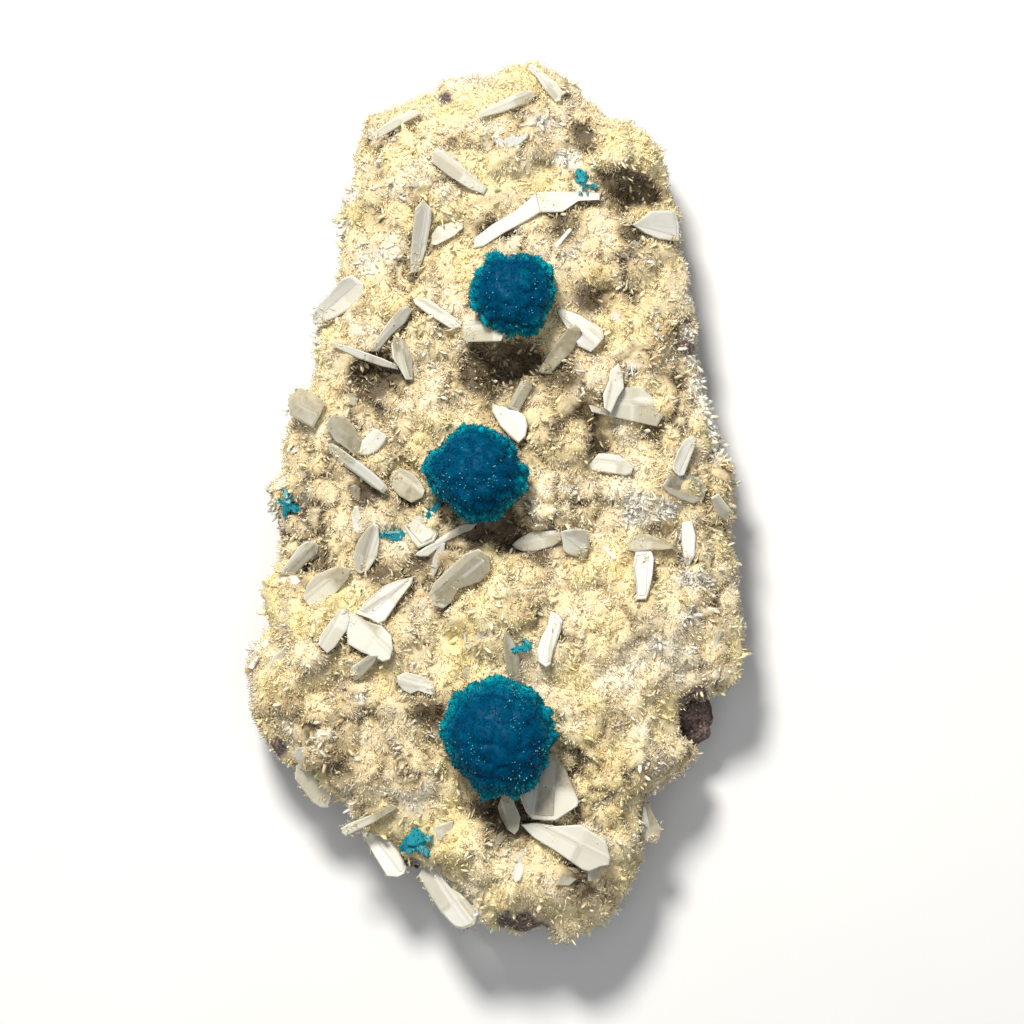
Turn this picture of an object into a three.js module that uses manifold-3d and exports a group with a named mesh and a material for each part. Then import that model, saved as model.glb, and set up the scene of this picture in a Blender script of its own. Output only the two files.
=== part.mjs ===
// A cavansite specimen: a slab of basalt, overgrown on one face by a lumpy druse of stilbite that carries
// three blue cavansite balls, small cavansite sprays and larger stilbite blades.
// Millimetres. X runs across, Y along the specimen and Z out of its crystal face, and it lies on its back.

import * as THREE from 'three';
import { ConvexGeometry } from 'three/addons/geometries/ConvexGeometry.js';
import { mergeVertices } from 'three/addons/utils/BufferGeometryUtils.js';
import Module from 'manifold-3d';

const wasm = await Module();
wasm.setup();

// ---------------------------------------------------------------- driving dimensions

const SEAT_GAP = 0.3; // between any two pieces that grow on each other

const DRUSE_TOLERANCE = 0.15; // how far a face may move when slivers are closed up
const CRYSTAL_TOLERANCE = 0.03;

const ROCK_TOP = 8.0; // top of the basalt, under the druse
const ROCK_PROFILE = [0.88, 0.965, 1.0, 0.99, 0.95]; // scale of its outline, at even steps of height
const ROCK_ROUGHNESS = 0.7; // how far its side faces break in and out
const ROCK_LEDGE = 0.5; // how far they break up and down

const DRUSE_LEVEL = 13.6; // mean surface of the druse, away from its lumps
const DRUSE_RIM_DROP = 4.2; // how far it falls to the rim
const DRUSE_RIM_WIDTH = 4.5; // over this much of its edge
const DRUSE_SKIRT = 6.2; // mean height of its lower edge, where it wraps down the sides of the slab
const DRUSE_THINNEST = 1.2; // least height of the druse over the top of the basalt
const DRUSE_CELL = 2.4; // spacing of its surface points
const DRUSE_JITTER = 0.45; // how far they stray, as a part of their spacing
const TUFT_PITCH = 3.3; // spacing of the small tufts all over it
const TUFT_RISE = 1.3;

const SPRAY_CORE = 0.45; // radius of the knot that a spray's blades grow from

const BALL_DETAIL = 4; // subdivisions of a ball's faces
const BALL_LUMP = 0.1; // depth of its lobes, as a part of its radius
const BALL_SPINE = 0.04; // height of its crystal tips, as a part of its radius

const BLADE_THICKNESS = 0.42; // of a blade, as a part of its width
const BLADE_TIP = 0.55; // length of its point, as a part of its width
const BLADE_SLOPE = 0.3; // steepest fall of the ground that a blade follows, as rise over length

// ---------------------------------------------------------------- outlines, [x, y]

// The druse, clockwise from the top of the specimen.
const DRUSE_OUTLINE = [
  [0.5, 43.4], [1.8, 44.0], [3.9, 44.3], [5.7, 43.6], [7.9, 42.3], [8.9, 40.7], [9.9, 40.1], [11.1, 38.6],
  [13.7, 38.2], [15.0, 36.9], [16.4, 35.5], [17.3, 32.4], [17.6, 29.9], [18.6, 29.4], [18.1, 28.8],
  [18.5, 26.6], [19.1, 23.4], [19.7, 19.4], [20.3, 16.4], [19.9, 13.9], [21.0, 10.4], [21.8, 7.4],
  [23.7, 3.6], [23.7, 2.4], [24.0, -1.5], [23.3, -2.2], [23.9, -4.6], [24.5, -6.1], [24.1, -8.4],
  [24.7, -11.1], [24.9, -14.6], [24.5, -17.6], [23.3, -18.5], [21.0, -20.0], [19.5, -19.6], [18.3, -21.2],
  [18.9, -23.4], [20.3, -24.9], [19.7, -26.3], [18.8, -27.1], [17.3, -27.7], [15.5, -28.9], [14.8, -30.6],
  [14.7, -33.7], [14.3, -34.4], [14.7, -35.6], [14.2, -36.9], [13.4, -38.2], [12.4, -40.9], [10.5, -42.3],
  [8.8, -42.7], [7.5, -43.9], [6.2, -44.2], [4.9, -42.1], [2.9, -43.2], [1.3, -42.8], [-0.6, -42.4],
  [-1.3, -41.4], [-2.5, -39.6], [-4.5, -37.6], [-6.5, -36.4], [-8.5, -36.0], [-10.0, -34.6],
  [-12.0, -33.1], [-13.7, -32.6], [-14.2, -31.6], [-14.8, -30.2], [-16.2, -29.0], [-18.0, -28.2],
  [-19.3, -27.4], [-20.3, -26.4], [-21.9, -25.4], [-23.5, -22.6], [-24.4, -21.6], [-24.4, -18.7],
  [-25.2, -16.4], [-24.1, -14.8], [-22.4, -11.9], [-23.1, -10.7], [-23.3, -8.8], [-21.8, -6.4],
  [-21.5, -3.6], [-22.1, -1.1], [-22.7, 1.4], [-21.1, 3.0], [-21.0, 5.2], [-21.3, 5.9], [-20.4, 7.7],
  [-20.3, 9.4], [-19.5, 10.9], [-17.9, 11.9], [-17.9, 14.9], [-17.4, 17.4], [-16.9, 19.2], [-15.7, 21.4],
  [-15.3, 24.4], [-15.1, 27.4], [-15.9, 29.0], [-15.0, 29.9], [-14.8, 31.8], [-13.8, 33.6], [-14.0, 34.9],
  [-13.2, 37.3], [-12.8, 38.9], [-10.3, 39.8], [-8.2, 40.5], [-5.9, 41.7], [-5.4, 42.5], [-2.8, 42.8],
];

// The basalt at its widest: a little inside the druse, and out beyond it where the druse has broken away.
const ROCK_OUTLINE = [
  [3.0, 42.6], [7.0, 41.0], [10.2, 37.8], [14.6, 35.6], [16.2, 31.0], [17.2, 26.0], [18.2, 20.6],
  [20.2, 17.8], [20.0, 14.6], [19.6, 10.6], [21.6, 5.0], [22.6, -1.0], [23.0, -8.0], [23.6, -14.0],
  [22.6, -18.6], [22.1, -20.8], [22.2, -23.4], [20.8, -25.6], [18.0, -26.6], [15.6, -28.8], [13.4, -31.4],
  [13.4, -37.0], [10.4, -41.0], [5.6, -42.6], [1.0, -42.9], [-3.0, -39.0], [-6.6, -36.6], [-8.4, -37.6],
  [-9.4, -35.6], [-13.4, -31.0], [-18.0, -27.0], [-22.6, -25.0], [-23.0, -19.6], [-23.2, -15.0],
  [-21.6, -10.0], [-20.6, -3.0], [-20.0, 4.6], [-18.0, 9.8], [-16.8, 15.0], [-14.2, 22.0], [-13.6, 30.0],
  [-12.2, 37.2], [-6.0, 40.4],
];

// ---------------------------------------------------------------- relief of the druse

// Domes: centre x, y, radius, rise.
const DOMES = [
  [13.2, 35.2, 3.9, 3.6], [9.5, 11.7, 3.0, 2.4], [14.5, 15.9, 2.4, 1.8], [7.5, 6.4, 3.2, 2.4],
  [5.0, -0.6, 2.8, 2.0], [0.5, -9.6, 4.8, 3.0], [8.5, -21.8, 3.4, 3.0], [-18.5, -13.6, 3.8, 2.4],
  [-21.2, -18.6, 3.0, 1.8], [-9.5, -21.6, 3.8, 2.4], [-16.5, -23.6, 3.4, 2.0], [-13.5, -29.2, 2.8, 1.6],
  [-7.5, -26.6, 3.2, 2.2], [12.5, -26.6, 3.6, 2.4], [12.4, -33.6, 2.6, 1.6], [6.5, -36.6, 3.8, 1.8],
  [-2.5, -34.6, 4.0, 2.0], [-0.8, -39.4, 3.8, 2.6], [2.0, 37.0, 4.0, 1.8], [-7.0, 33.0, 3.6, 1.6],
  [-9.0, 18.5, 3.4, 1.6],
  [12.0, 24.5, 3.4, 1.6], [-6.0, 9.5, 3.0, 1.4], [16.0, 2.0, 3.6, 1.6], [15.0, -11.0, 4.2, 2.0],
  [7.0, -13.6, 3.4, 1.6], [-11.0, -13.0, 3.6, 1.8],
];

// Mounds that carry the balls: centre x, y, radius, rise.
const BALL_MOUNDS = [
  [1.6, 21.0, 4.2, 2.6], [-2.0, 3.1, 4.8, 2.6], [0.2, -23.1, 5.4, 2.8],
];

// Pits and crevices: centre x, y, half width, half height, depth.
const PITS = [
  [1.8, 13.2, 4.6, 3.4, 4.2], [10.5, 7.1, 1.8, 2.2, 3.0], [11.2, 20.6, 2.2, 1.2, 2.0],
  [-13.5, 12.6, 2.2, 1.8, 3.8], [-13.8, 1.0, 1.3, 1.2, 2.6], [-18.0, -4.8, 2.0, 2.6, 2.2],
  [1.8, -3.0, 3.2, 2.2, 2.8], [-1.5, -31.2, 4.2, 1.8, 2.6], [-3.6, -29.2, 1.8, 2.8, 2.6],
  [-17.6, -19.4, 4.2, 1.4, 2.0], [13.4, 30.6, 3.6, 1.5, 4.4], [9.0, 36.4, 1.0, 2.6, 2.6],
  [7.2, 33.4, 1.6, 1.0, 2.0], [8.4, -26.0, 2.6, 1.3, 3.0], [-4.5, -12.0, 1.0, 3.2, 3.0],
  [-5.0, 40.7, 1.0, 1.0, 3.0],
];

// ---------------------------------------------------------------- cavansite

// Balls: name, centre x, y, half width, half length, height of the centre above the druse level.
const BALLS = [
  ['cavansite_ball_upper', 1.6, 21.0, 4.35, 4.5, 4.6],
  ['cavansite_ball_middle', -2.0, 3.1, 5.4, 5.2, 4.9],
  ['cavansite_ball_lower', 0.4, -23.1, 6.0, 6.3, 5.6],
];

// Sprays: name, centre x, y, then each ray as direction in degrees, length, width, lift of its tip.
const SPRAYS = [
  ['cavansite_spray_top_fan', 8.8, 32.2, [[70, 1.9, 0.9, 0.6], [110, 1.8, 0.9, 0.5], [150, 1.6, 0.8, 0.5],
    [200, 1.2, 0.7, 0.4], [320, 1.5, 0.8, 0.3], [20, 1.3, 0.7, 0.4]]],
  ['cavansite_spray_left_star', -20.8, 0.1, [[80, 1.8, 0.6, 0.5], [145, 1.5, 0.6, 0.4],
    [205, 1.3, 0.6, 0.3], [250, 1.5, 0.7, 0.2], [320, 1.5, 0.6, 0.4], [30, 1.2, 0.5, 0.5]]],
  ['cavansite_spray_bow_tie', -10.2, -3.2, [[2, 1.4, 0.8, 0.4], [22, 1.1, 0.5, 0.5], [178, 1.4, 0.8, 0.4],
    [200, 1.1, 0.5, 0.3], [158, 1.0, 0.5, 0.5]]],
  ['cavansite_spray_middle_blade', -6.8, -0.8, [[50, 1.3, 0.6, 0.8], [228, 1.4, 0.6, 0.1]]],
  ['cavansite_spray_curl', 2.4, -13.9, [[35, 1.1, 0.6, 0.5], [100, 0.9, 0.6, 0.6], [165, 1.1, 0.6, 0.4],
    [215, 1.2, 0.5, 0.3], [350, 0.9, 0.5, 0.3]]],
  ['cavansite_spray_rosette', -7.9, -33.9, [[20, 1.5, 0.9, 0.6], [75, 1.5, 0.9, 0.9], [125, 1.6, 0.9, 0.6],
    [180, 1.6, 0.9, 0.3], [235, 1.5, 0.9, 0.2], [300, 1.4, 0.9, 0.4]]],
];

// ---------------------------------------------------------------- stilbite blades

// Each runs from its root to its tip, x, y, with its width, its lift above the druse at root and tip, its
// roll about its own length in degrees, and the shape of its free end.
const POINT = 'point';
const SLANT = 'slant';
const SQUARE = 'square';
const BLADES = [
  [-12.9, 36.9, -7.1, 39.8, 1.2, -0.2, 0.2, 10, SLANT],
  [-6.4, 35.0, -0.5, 31.2, 1.6, 0.1, 0.4, -8, SLANT],
  [-8.1, 22.9, -7.3, 30.1, 1.7, 0.0, 0.6, 12, SLANT],
  [-6.3, 26.1, -3.3, 27.9, 1.6, 0.0, 0.6, -20, POINT],
  [-2.0, 26.0, 4.5, 30.2, 1.5, 0.3, 0.6, 6, SLANT],
  [4.0, 30.2, 10.5, 30.5, 1.7, 0.6, 0.8, -4, SQUARE],
  [-1.1, 38.5, 4.2, 41.0, 1.4, 0.2, 0.5, 8, SLANT],
  [4.0, 43.4, 6.8, 40.2, 1.5, 0.2, 0.6, 20, SQUARE],
  [14.2, 28.2, 18.1, 27.4, 2.2, 0.0, 0.4, 5, SQUARE],
  [-14.3, 22.2, -17.9, 18.0, 2.3, 0.5, 0.9, -12, SQUARE],
  [-15.5, 15.9, -9.6, 13.5, 0.9, 0.5, 0.6, 60, SLANT],
  [-12.4, 15.2, -8.5, 19.7, 1.3, 0.3, 0.8, 15, POINT],
  [-10.0, 16.7, -8.8, 12.2, 1.5, 0.3, 0.9, -25, POINT],
  [-8.1, 20.2, -3.6, 17.6, 1.4, 0.2, 0.7, -10, SLANT],
  [-3.2, 17.2, 1.1, 17.1, 2.3, 1.2, 4.6, 6, SLANT],
  [-17.2, 8.6, -20.3, 10.4, 3.0, 0.0, 0.6, 8, SLANT],
  [-13.7, 4.9, -16.5, 8.4, 2.6, 0.2, 0.7, -12, SLANT],
  [-16.8, 6.1, -10.7, 1.3, 1.4, 0.8, 1.0, 25, SLANT],
  [-13.3, 5.2, -11.3, 7.4, 1.6, 0.3, 0.9, 10, SQUARE],
  [-10.0, 3.6, -7.5, 0.8, 2.6, -0.2, 0.4, 10, SLANT],
  [6.1, 19.8, 10.6, 16.2, 2.3, 0.6, 1.0, -12, SQUARE],
  [4.9, 13.4, 8.2, 17.3, 1.6, 0.5, 1.0, 14, SLANT],
  [1.1, 8.8, 3.4, 12.3, 1.1, 1.0, 2.0, 30, POINT],
  [-0.4, 10.0, 2.8, 6.3, 2.4, 0.2, 0.7, -8, SLANT],
  [11.7, 10.6, 11.7, 14.1, 1.5, 0.2, 0.8, 35, SQUARE],
  [9.4, 9.8, 16.5, 7.9, 2.0, 0.4, 0.9, -12, SLANT],
  [9.3, 3.8, 13.8, 3.4, 1.5, 0.2, 0.7, 8, SQUARE],
  [17.6, 3.0, 20.0, 6.6, 1.2, 0.2, 0.8, 20, SLANT],
  [21.6, 0.8, 23.9, -1.4, 1.8, 0.0, 0.4, 15, POINT],
  [-13.6, -6.6, -10.9, -2.2, 2.2, 0.1, 0.8, -10, SLANT],
  [-8.0, -5.1, -1.7, -2.0, 0.9, 0.2, 0.6, 20, POINT],
  [-6.0, -9.4, -0.4, -5.3, 2.8, -0.3, 0.5, 6, SLANT],
  [-22.3, -7.4, -17.6, -4.3, 1.5, 0.1, 0.7, 10, SLANT],
  [-19.2, -9.4, -14.5, -6.4, 2.0, 0.0, 0.6, -6, SLANT],
  [-17.3, -13.8, -14.6, -10.9, 1.8, 0.1, 0.6, 12, SLANT],
  [-15.2, -11.6, -10.2, -15.0, 2.7, 0.4, 0.8, 8, SLANT],
  [-13.0, -10.9, -8.3, -7.4, 1.7, 0.3, 0.9, -8, SLANT],
  [-14.4, -17.4, -11.4, -15.2, 1.4, 0.1, 0.7, 20, POINT],
  [-9.4, -17.4, -5.8, -18.6, 1.7, 0.2, 0.7, -6, SLANT],
  [1.6, -4.3, 6.8, -3.1, 1.3, 0.2, 0.6, 8, SLANT],
  [9.6, -5.0, 5.6, -2.8, 1.8, 0.1, 0.5, -8, SLANT],
  [14.7, -3.1, 14.6, -9.6, 1.6, 0.1, 0.4, 10, SLANT],
  [1.2, -12.5, 2.0, -17.4, 1.2, 0.1, 0.8, -12, SQUARE],
  [6.1, -11.0, 4.8, -15.6, 1.3, 0.1, 0.7, 12, SLANT],
  [19.3, -1.8, 19.5, -6.1, 1.5, 0.1, 0.4, 10, SLANT],
  [-19.6, -26.4, -16.7, -30.1, 2.2, 0.0, 0.2, 8, SLANT],
  [-10.0, -30.4, -15.2, -32.6, 0.9, 0.3, 0.6, 20, SQUARE],
  [-12.2, -33.4, -9.7, -37.0, 2.2, -0.2, 0.1, -6, SLANT],
  [-6.0, -36.9, -2.8, -42.0, 2.5, -0.2, 0.0, 6, SLANT],
  [4.4, -25.0, 7.0, -31.2, 3.2, 0.8, 1.2, -10, SLANT],
  [3.4, -31.8, 10.6, -35.5, 3.3, 0.7, 1.2, 10, SLANT],
  [0.9, -29.6, 2.1, -32.8, 1.5, 0.6, 1.2, 25, POINT],
  [14.6, -30.6, 16.2, -34.1, 1.9, -0.4, 0.0, 10, POINT],
];

// ---------------------------------------------------------------- materials

const BASALT = new THREE.MeshStandardMaterial({ color: 0x40312f, roughness: 0.9, metalness: 0 });
const DRUSE = new THREE.MeshStandardMaterial({ color: 0xd0bb8c, roughness: 0.6, metalness: 0 });
const STILBITE = new THREE.MeshStandardMaterial({ color: 0xe0ddcf, roughness: 0.25, metalness: 0 });
const BLUE = new THREE.MeshStandardMaterial({ color: 0x045a86, roughness: 0.35, metalness: 0 });
const TEAL = new THREE.MeshStandardMaterial({ color: 0x0a9fb4, roughness: 0.35, metalness: 0 });

// ---------------------------------------------------------------- solids

// A closed geometry with one vertex at each corner, so that its faces share them.
function welded(geometry) {
  const bare = geometry.clone();
  bare.deleteAttribute('normal');
  bare.deleteAttribute('uv');
  return mergeVertices(bare, 1e-4);
}

function solidFrom(geometry) {
  const body = welded(geometry);
  return new wasm.Manifold(new wasm.Mesh({
    numProp: 3,
    vertProperties: new Float32Array(body.attributes.position.array),
    triVerts: new Uint32Array(body.index.array),
  }));
}

function geometryFrom(solid) {
  const mesh = solid.getMesh();
  const geometry = new THREE.BufferGeometry();
  geometry.setAttribute('position', new THREE.BufferAttribute(mesh.vertProperties, 3));
  geometry.setIndex(new THREE.BufferAttribute(mesh.triVerts, 1));
  geometry.computeVertexNormals();
  return geometry;
}

// A cut can leave slivers on the body and crumbs beside it, so its smallest faces are closed up and only
// its largest part is kept.
function cleaned(solid, tolerance) {
  const parts = solid.simplify(tolerance).decompose();
  parts.sort((a, b) => b.volume() - a.volume());
  return parts[0];
}

// The same geometry with every face moved out by a distance.
function grown(geometry, distance) {
  const body = welded(geometry);
  const places = body.attributes.position;
  const normals = Array.from({ length: places.count }, () => []);
  const corners = [new THREE.Vector3(), new THREE.Vector3(), new THREE.Vector3()];
  for (let face = 0; face < body.index.count; face += 3) {
    const indices = [0, 1, 2].map((corner) => body.index.getX(face + corner));
    indices.forEach((index, corner) => corners[corner].fromBufferAttribute(places, index));
    const normal = new THREE.Vector3();
    new THREE.Triangle(...corners).getNormal(normal);
    indices.forEach((index) => normals[index].push(normal));
  }
  normals.forEach((around, index) => {
    const outward = around.reduce((sum, normal) => sum.add(normal), new THREE.Vector3()).normalize();
    const facing = Math.min(...around.map((normal) => normal.dot(outward)));
    outward.multiplyScalar(distance / Math.max(facing, 0.4));
    places.setXYZ(
      index,
      places.getX(index) + outward.x,
      places.getY(index) + outward.y,
      places.getZ(index) + outward.z,
    );
  });
  return body;
}

// Repeatable scatter, from 0 to 1, that belongs to a place.
function scatter(a, b, kind) {
  const value = Math.sin(a * 127.1 + b * 311.7 + kind * 74.7) * 43758.5453;
  return value - Math.floor(value);
}

function outlineShape(outline) {
  return new THREE.Shape(outline.map(([x, y]) => new THREE.Vector2(x, y)));
}

// ---------------------------------------------------------------- relief

function distanceToSide(x, y, [ax, ay], [bx, by]) {
  const along = ((x - ax) * (bx - ax) + (y - ay) * (by - ay)) / ((bx - ax) ** 2 + (by - ay) ** 2);
  const t = THREE.MathUtils.clamp(along, 0, 1);
  return Math.hypot(x - ax - t * (bx - ax), y - ay - t * (by - ay));
}

// How far a point lies inside an outline, or 0 outside it.
function insideBy(x, y, outline) {
  let inside = false;
  let nearest = Infinity;
  outline.forEach((start, index) => {
    const end = outline[(index + 1) % outline.length];
    nearest = Math.min(nearest, distanceToSide(x, y, start, end));
    const crosses = (start[1] > y) !== (end[1] > y);
    if (crosses && x < start[0] + ((y - start[1]) * (end[0] - start[0])) / (end[1] - start[1])) {
      inside = !inside;
    }
  });
  return inside ? nearest : 0;
}

// A round cap, as of a ball half sunk in the surface.
function cap(distance, radius, rise) {
  return distance < radius ? rise * Math.sqrt(1 - (distance / radius) ** 2) : 0;
}

// A soft hump, level at its foot. Its distance is given as a part of its radius.
function hump(distance) {
  return distance < 1 ? (1 - distance ** 2) ** 2 : 0;
}

function tufts(x, y) {
  const column = Math.floor(x / TUFT_PITCH);
  const row = Math.floor(y / TUFT_PITCH);
  let top = 0;
  for (let i = column - 1; i <= column + 1; i += 1) {
    for (let j = row - 1; j <= row + 1; j += 1) {
      const distance = Math.hypot(
        x - (i + 0.2 + 0.6 * scatter(i, j, 1)) * TUFT_PITCH,
        y - (j + 0.2 + 0.6 * scatter(i, j, 2)) * TUFT_PITCH,
      );
      const radius = TUFT_PITCH * (0.6 + 0.25 * scatter(i, j, 3));
      top = Math.max(top, cap(distance, radius, TUFT_RISE * (0.5 + scatter(i, j, 4))));
    }
  }
  return top;
}

function druseHeight(x, y) {
  const rim = Math.max(0, 1 - insideBy(x, y, DRUSE_OUTLINE) / DRUSE_RIM_WIDTH);
  const domes = DOMES.map(([cx, cy, radius, rise]) => cap(Math.hypot(x - cx, y - cy), radius, rise));
  const mounds = BALL_MOUNDS.map(([cx, cy, radius, rise]) => (
    rise * hump(Math.hypot(x - cx, y - cy) / radius)
  ));
  const pits = PITS.map(([cx, cy, halfWidth, halfHeight, depth]) => (
    depth * hump(Math.hypot((x - cx) / halfWidth, (y - cy) / halfHeight))
  ));
  const level = DRUSE_LEVEL - DRUSE_RIM_DROP * rim * rim;
  const height = level + Math.max(...domes) + Math.max(...mounds) - Math.max(...pits) + tufts(x, y);
  return Math.max(height, ROCK_TOP + DRUSE_THINNEST);
}

// ---------------------------------------------------------------- basalt

function rockGeometry() {
  const steps = ROCK_PROFILE.length - 1;
  const slab = welded(new THREE.ExtrudeGeometry(outlineShape(ROCK_OUTLINE), {
    depth: ROCK_TOP,
    steps,
    bevelEnabled: false,
  }));
  const places = slab.attributes.position;
  for (let index = 0; index < places.count; index += 1) {
    const level = Math.round((places.getZ(index) / ROCK_TOP) * steps);
    const x = places.getX(index) * ROCK_PROFILE[level];
    const y = places.getY(index) * ROCK_PROFILE[level];
    const broken = level > 0 && level < steps ? 2 : 0;
    places.setXYZ(
      index,
      x + broken * (scatter(x, y, 5) - 0.5) * ROCK_ROUGHNESS,
      y + broken * (scatter(x, y, 6) - 0.5) * ROCK_ROUGHNESS,
      places.getZ(index) + broken * (scatter(x, y, 7) - 0.5) * ROCK_LEDGE,
    );
  }
  return slab;
}

// ---------------------------------------------------------------- stilbite druse

function druseSlab() {
  const size = new THREE.Box2().setFromPoints(outlineShape(DRUSE_OUTLINE).getPoints());
  const width = size.max.x - size.min.x + 4 * DRUSE_CELL;
  const length = size.max.y - size.min.y + 4 * DRUSE_CELL;
  const slab = welded(new THREE.BoxGeometry(
    width,
    length,
    1,
    Math.round(width / DRUSE_CELL),
    Math.round(length / DRUSE_CELL),
    1,
  ));
  const places = slab.attributes.position;
  for (let index = 0; index < places.count; index += 1) {
    const column = places.getX(index) / DRUSE_CELL;
    const row = places.getY(index) / DRUSE_CELL;
    const x = places.getX(index) + DRUSE_CELL * DRUSE_JITTER * (scatter(column, row, 8) - 0.5);
    const y = places.getY(index) + DRUSE_CELL * DRUSE_JITTER * (scatter(column, row, 9) - 0.5);
    const skirt = DRUSE_SKIRT + Math.sin(x * 0.9 + y * 0.5) + Math.sin(y * 1.3 - x * 0.4);
    places.setXYZ(index, x, y, places.getZ(index) > 0 ? druseHeight(x, y) : skirt);
  }
  return slab;
}

function druseSolid(rock, sockets) {
  const wall = new THREE.ExtrudeGeometry(outlineShape(DRUSE_OUTLINE), {
    depth: 4 * DRUSE_LEVEL,
    bevelEnabled: false,
  });
  const blank = solidFrom(druseSlab()).intersect(solidFrom(wall));
  const seat = solidFrom(grown(rock, SEAT_GAP));
  return cleaned(blank.subtract(seat).subtract(wasm.Manifold.union(sockets)), DRUSE_TOLERANCE);
}

// ---------------------------------------------------------------- crystals

// A ball of radiating crystals: lobed, with every third corner of its faces drawn out to a tip.
function ballGeometry(halfWidth, halfLength) {
  const ball = welded(new THREE.IcosahedronGeometry(1, BALL_DETAIL));
  const places = ball.attributes.position;
  const corner = new THREE.Vector3();
  for (let index = 0; index < places.count; index += 1) {
    corner.fromBufferAttribute(places, index);
    const rows = Math.sin(corner.x * 7 + halfWidth) * Math.sin(corner.y * 8 + 1);
    const lobes = rows * Math.sin(corner.z * 7 + 2);
    const spine = index % 3 === 0 ? BALL_SPINE : -BALL_SPINE * scatter(index, 1, 10);
    corner.multiplyScalar(1 - BALL_SPINE + lobes * BALL_LUMP + spine);
    places.setXYZ(index, corner.x * halfWidth, corner.y * halfLength, corner.z * halfWidth);
  }
  return ball;
}

// A socket in the druse, wider than any tip of the ball that grows in it.
function ballSocket(halfWidth, halfLength) {
  const reach = 1 + BALL_LUMP + SEAT_GAP / halfWidth;
  return new THREE.IcosahedronGeometry(1, 1).scale(halfWidth * reach, halfLength * reach, halfWidth * reach);
}

// A flat blade along +X from its root at the origin, with its broad faces up and down.
function bladeGeometry(length, width, end) {
  const half = width / 2;
  const tip = Math.min(width * BLADE_TIP, length / 2);
  const ends = {
    [POINT]: [[length - tip, -half], [length, 0], [length - tip, half]],
    [SLANT]: [[length - 0.3 * tip, -half], [length, -0.3 * half], [length - tip, half]],
    [SQUARE]: [[length, -half], [length - 0.2 * tip, half]],
  };
  const outline = [[0, -0.85 * half], ...ends[end], [0, 0.85 * half]];
  const thickness = width * BLADE_THICKNESS;
  const blade = new THREE.ExtrudeGeometry(outlineShape(outline), { depth: thickness, bevelEnabled: false });
  return blade.translate(0, 0, -thickness / 2);
}

// Turns a blade along the line from its root to its tip and rolls it about that line.
function laidAlong(blade, root, tip, roll) {
  const along = tip.clone().sub(root).normalize();
  const across = new THREE.Vector3(0, 0, 1).cross(along).normalize();
  const up = along.clone().cross(across);
  const frame = new THREE.Matrix4().makeBasis(along, across, up).setPosition(root);
  frame.multiply(new THREE.Matrix4().makeRotationX(THREE.MathUtils.degToRad(roll)));
  return blade.applyMatrix4(frame);
}

// A blade rests on the druse: it follows the fall of the ground no steeper than its slope, stands off it by
// its lifts, and is raised until the lumps between its ends cover no more than half of its thickness.
function restingBlade([rootX, rootY, tipX, tipY, width, rootLift, tipLift, roll, end]) {
  const root = new THREE.Vector3(rootX, rootY, druseHeight(rootX, rootY));
  const tip = new THREE.Vector3(tipX, tipY, druseHeight(tipX, tipY));
  const lowest = Math.max(root.z, tip.z) - BLADE_SLOPE * root.distanceTo(tip);
  root.z = Math.max(root.z, lowest) + rootLift;
  tip.z = Math.max(tip.z, lowest) + tipLift;
  const covered = [0.25, 0.5, 0.75].map((t) => {
    const point = root.clone().lerp(tip, t);
    return druseHeight(point.x, point.y) - point.z;
  });
  const raised = Math.max(0, ...covered);
  root.z += raised;
  tip.z += raised;
  return laidAlong(bladeGeometry(root.distanceTo(tip), width, end), root, tip, roll);
}

// A spray of small blades that widen outward from a core on the druse.
function sprayGeometries(centreX, centreY, rays) {
  const centre = new THREE.Vector3(centreX, centreY, druseHeight(centreX, centreY) + SEAT_GAP);
  const core = new THREE.OctahedronGeometry(SPRAY_CORE).translate(centre.x, centre.y, centre.z);
  const blades = rays.map(([degrees, length, width, lift]) => {
    const angle = THREE.MathUtils.degToRad(degrees);
    const tip = new THREE.Vector3(Math.cos(angle) * length, Math.sin(angle) * length, lift).add(centre);
    const fan = new THREE.CylinderGeometry(width / 2, SPRAY_CORE / 4, length, 3);
    fan.scale(1, 1, 2 * BLADE_THICKNESS).rotateZ(-Math.PI / 2);
    return laidAlong(fan.translate(length / 2, 0, 0), centre, tip, degrees);
  });
  return [core, ...blades];
}

function hullOf(geometries) {
  const points = geometries.flatMap((geometry) => {
    const places = geometry.attributes.position;
    return Array.from({ length: places.count }, (_, i) => new THREE.Vector3().fromBufferAttribute(places, i));
  });
  return new ConvexGeometry(points);
}

// ---------------------------------------------------------------- the specimen

const specimen = new THREE.Group();

function addPiece(name, solid, material) {
  const piece = new THREE.Mesh(geometryFrom(solid), material);
  piece.name = name;
  specimen.add(piece);
}

const sockets = [];

BALLS.forEach(([name, x, y, halfWidth, halfLength, height]) => {
  const z = DRUSE_LEVEL + height;
  addPiece(name, solidFrom(ballGeometry(halfWidth, halfLength).translate(x, y, z)), BLUE);
  sockets.push(solidFrom(ballSocket(halfWidth, halfLength).translate(x, y, z)));
});

SPRAYS.forEach(([name, x, y, rays]) => {
  const blades = sprayGeometries(x, y, rays);
  addPiece(name, cleaned(wasm.Manifold.union(blades.map(solidFrom)), CRYSTAL_TOLERANCE), TEAL);
  sockets.push(solidFrom(grown(hullOf(blades), SEAT_GAP)));
});

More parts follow.
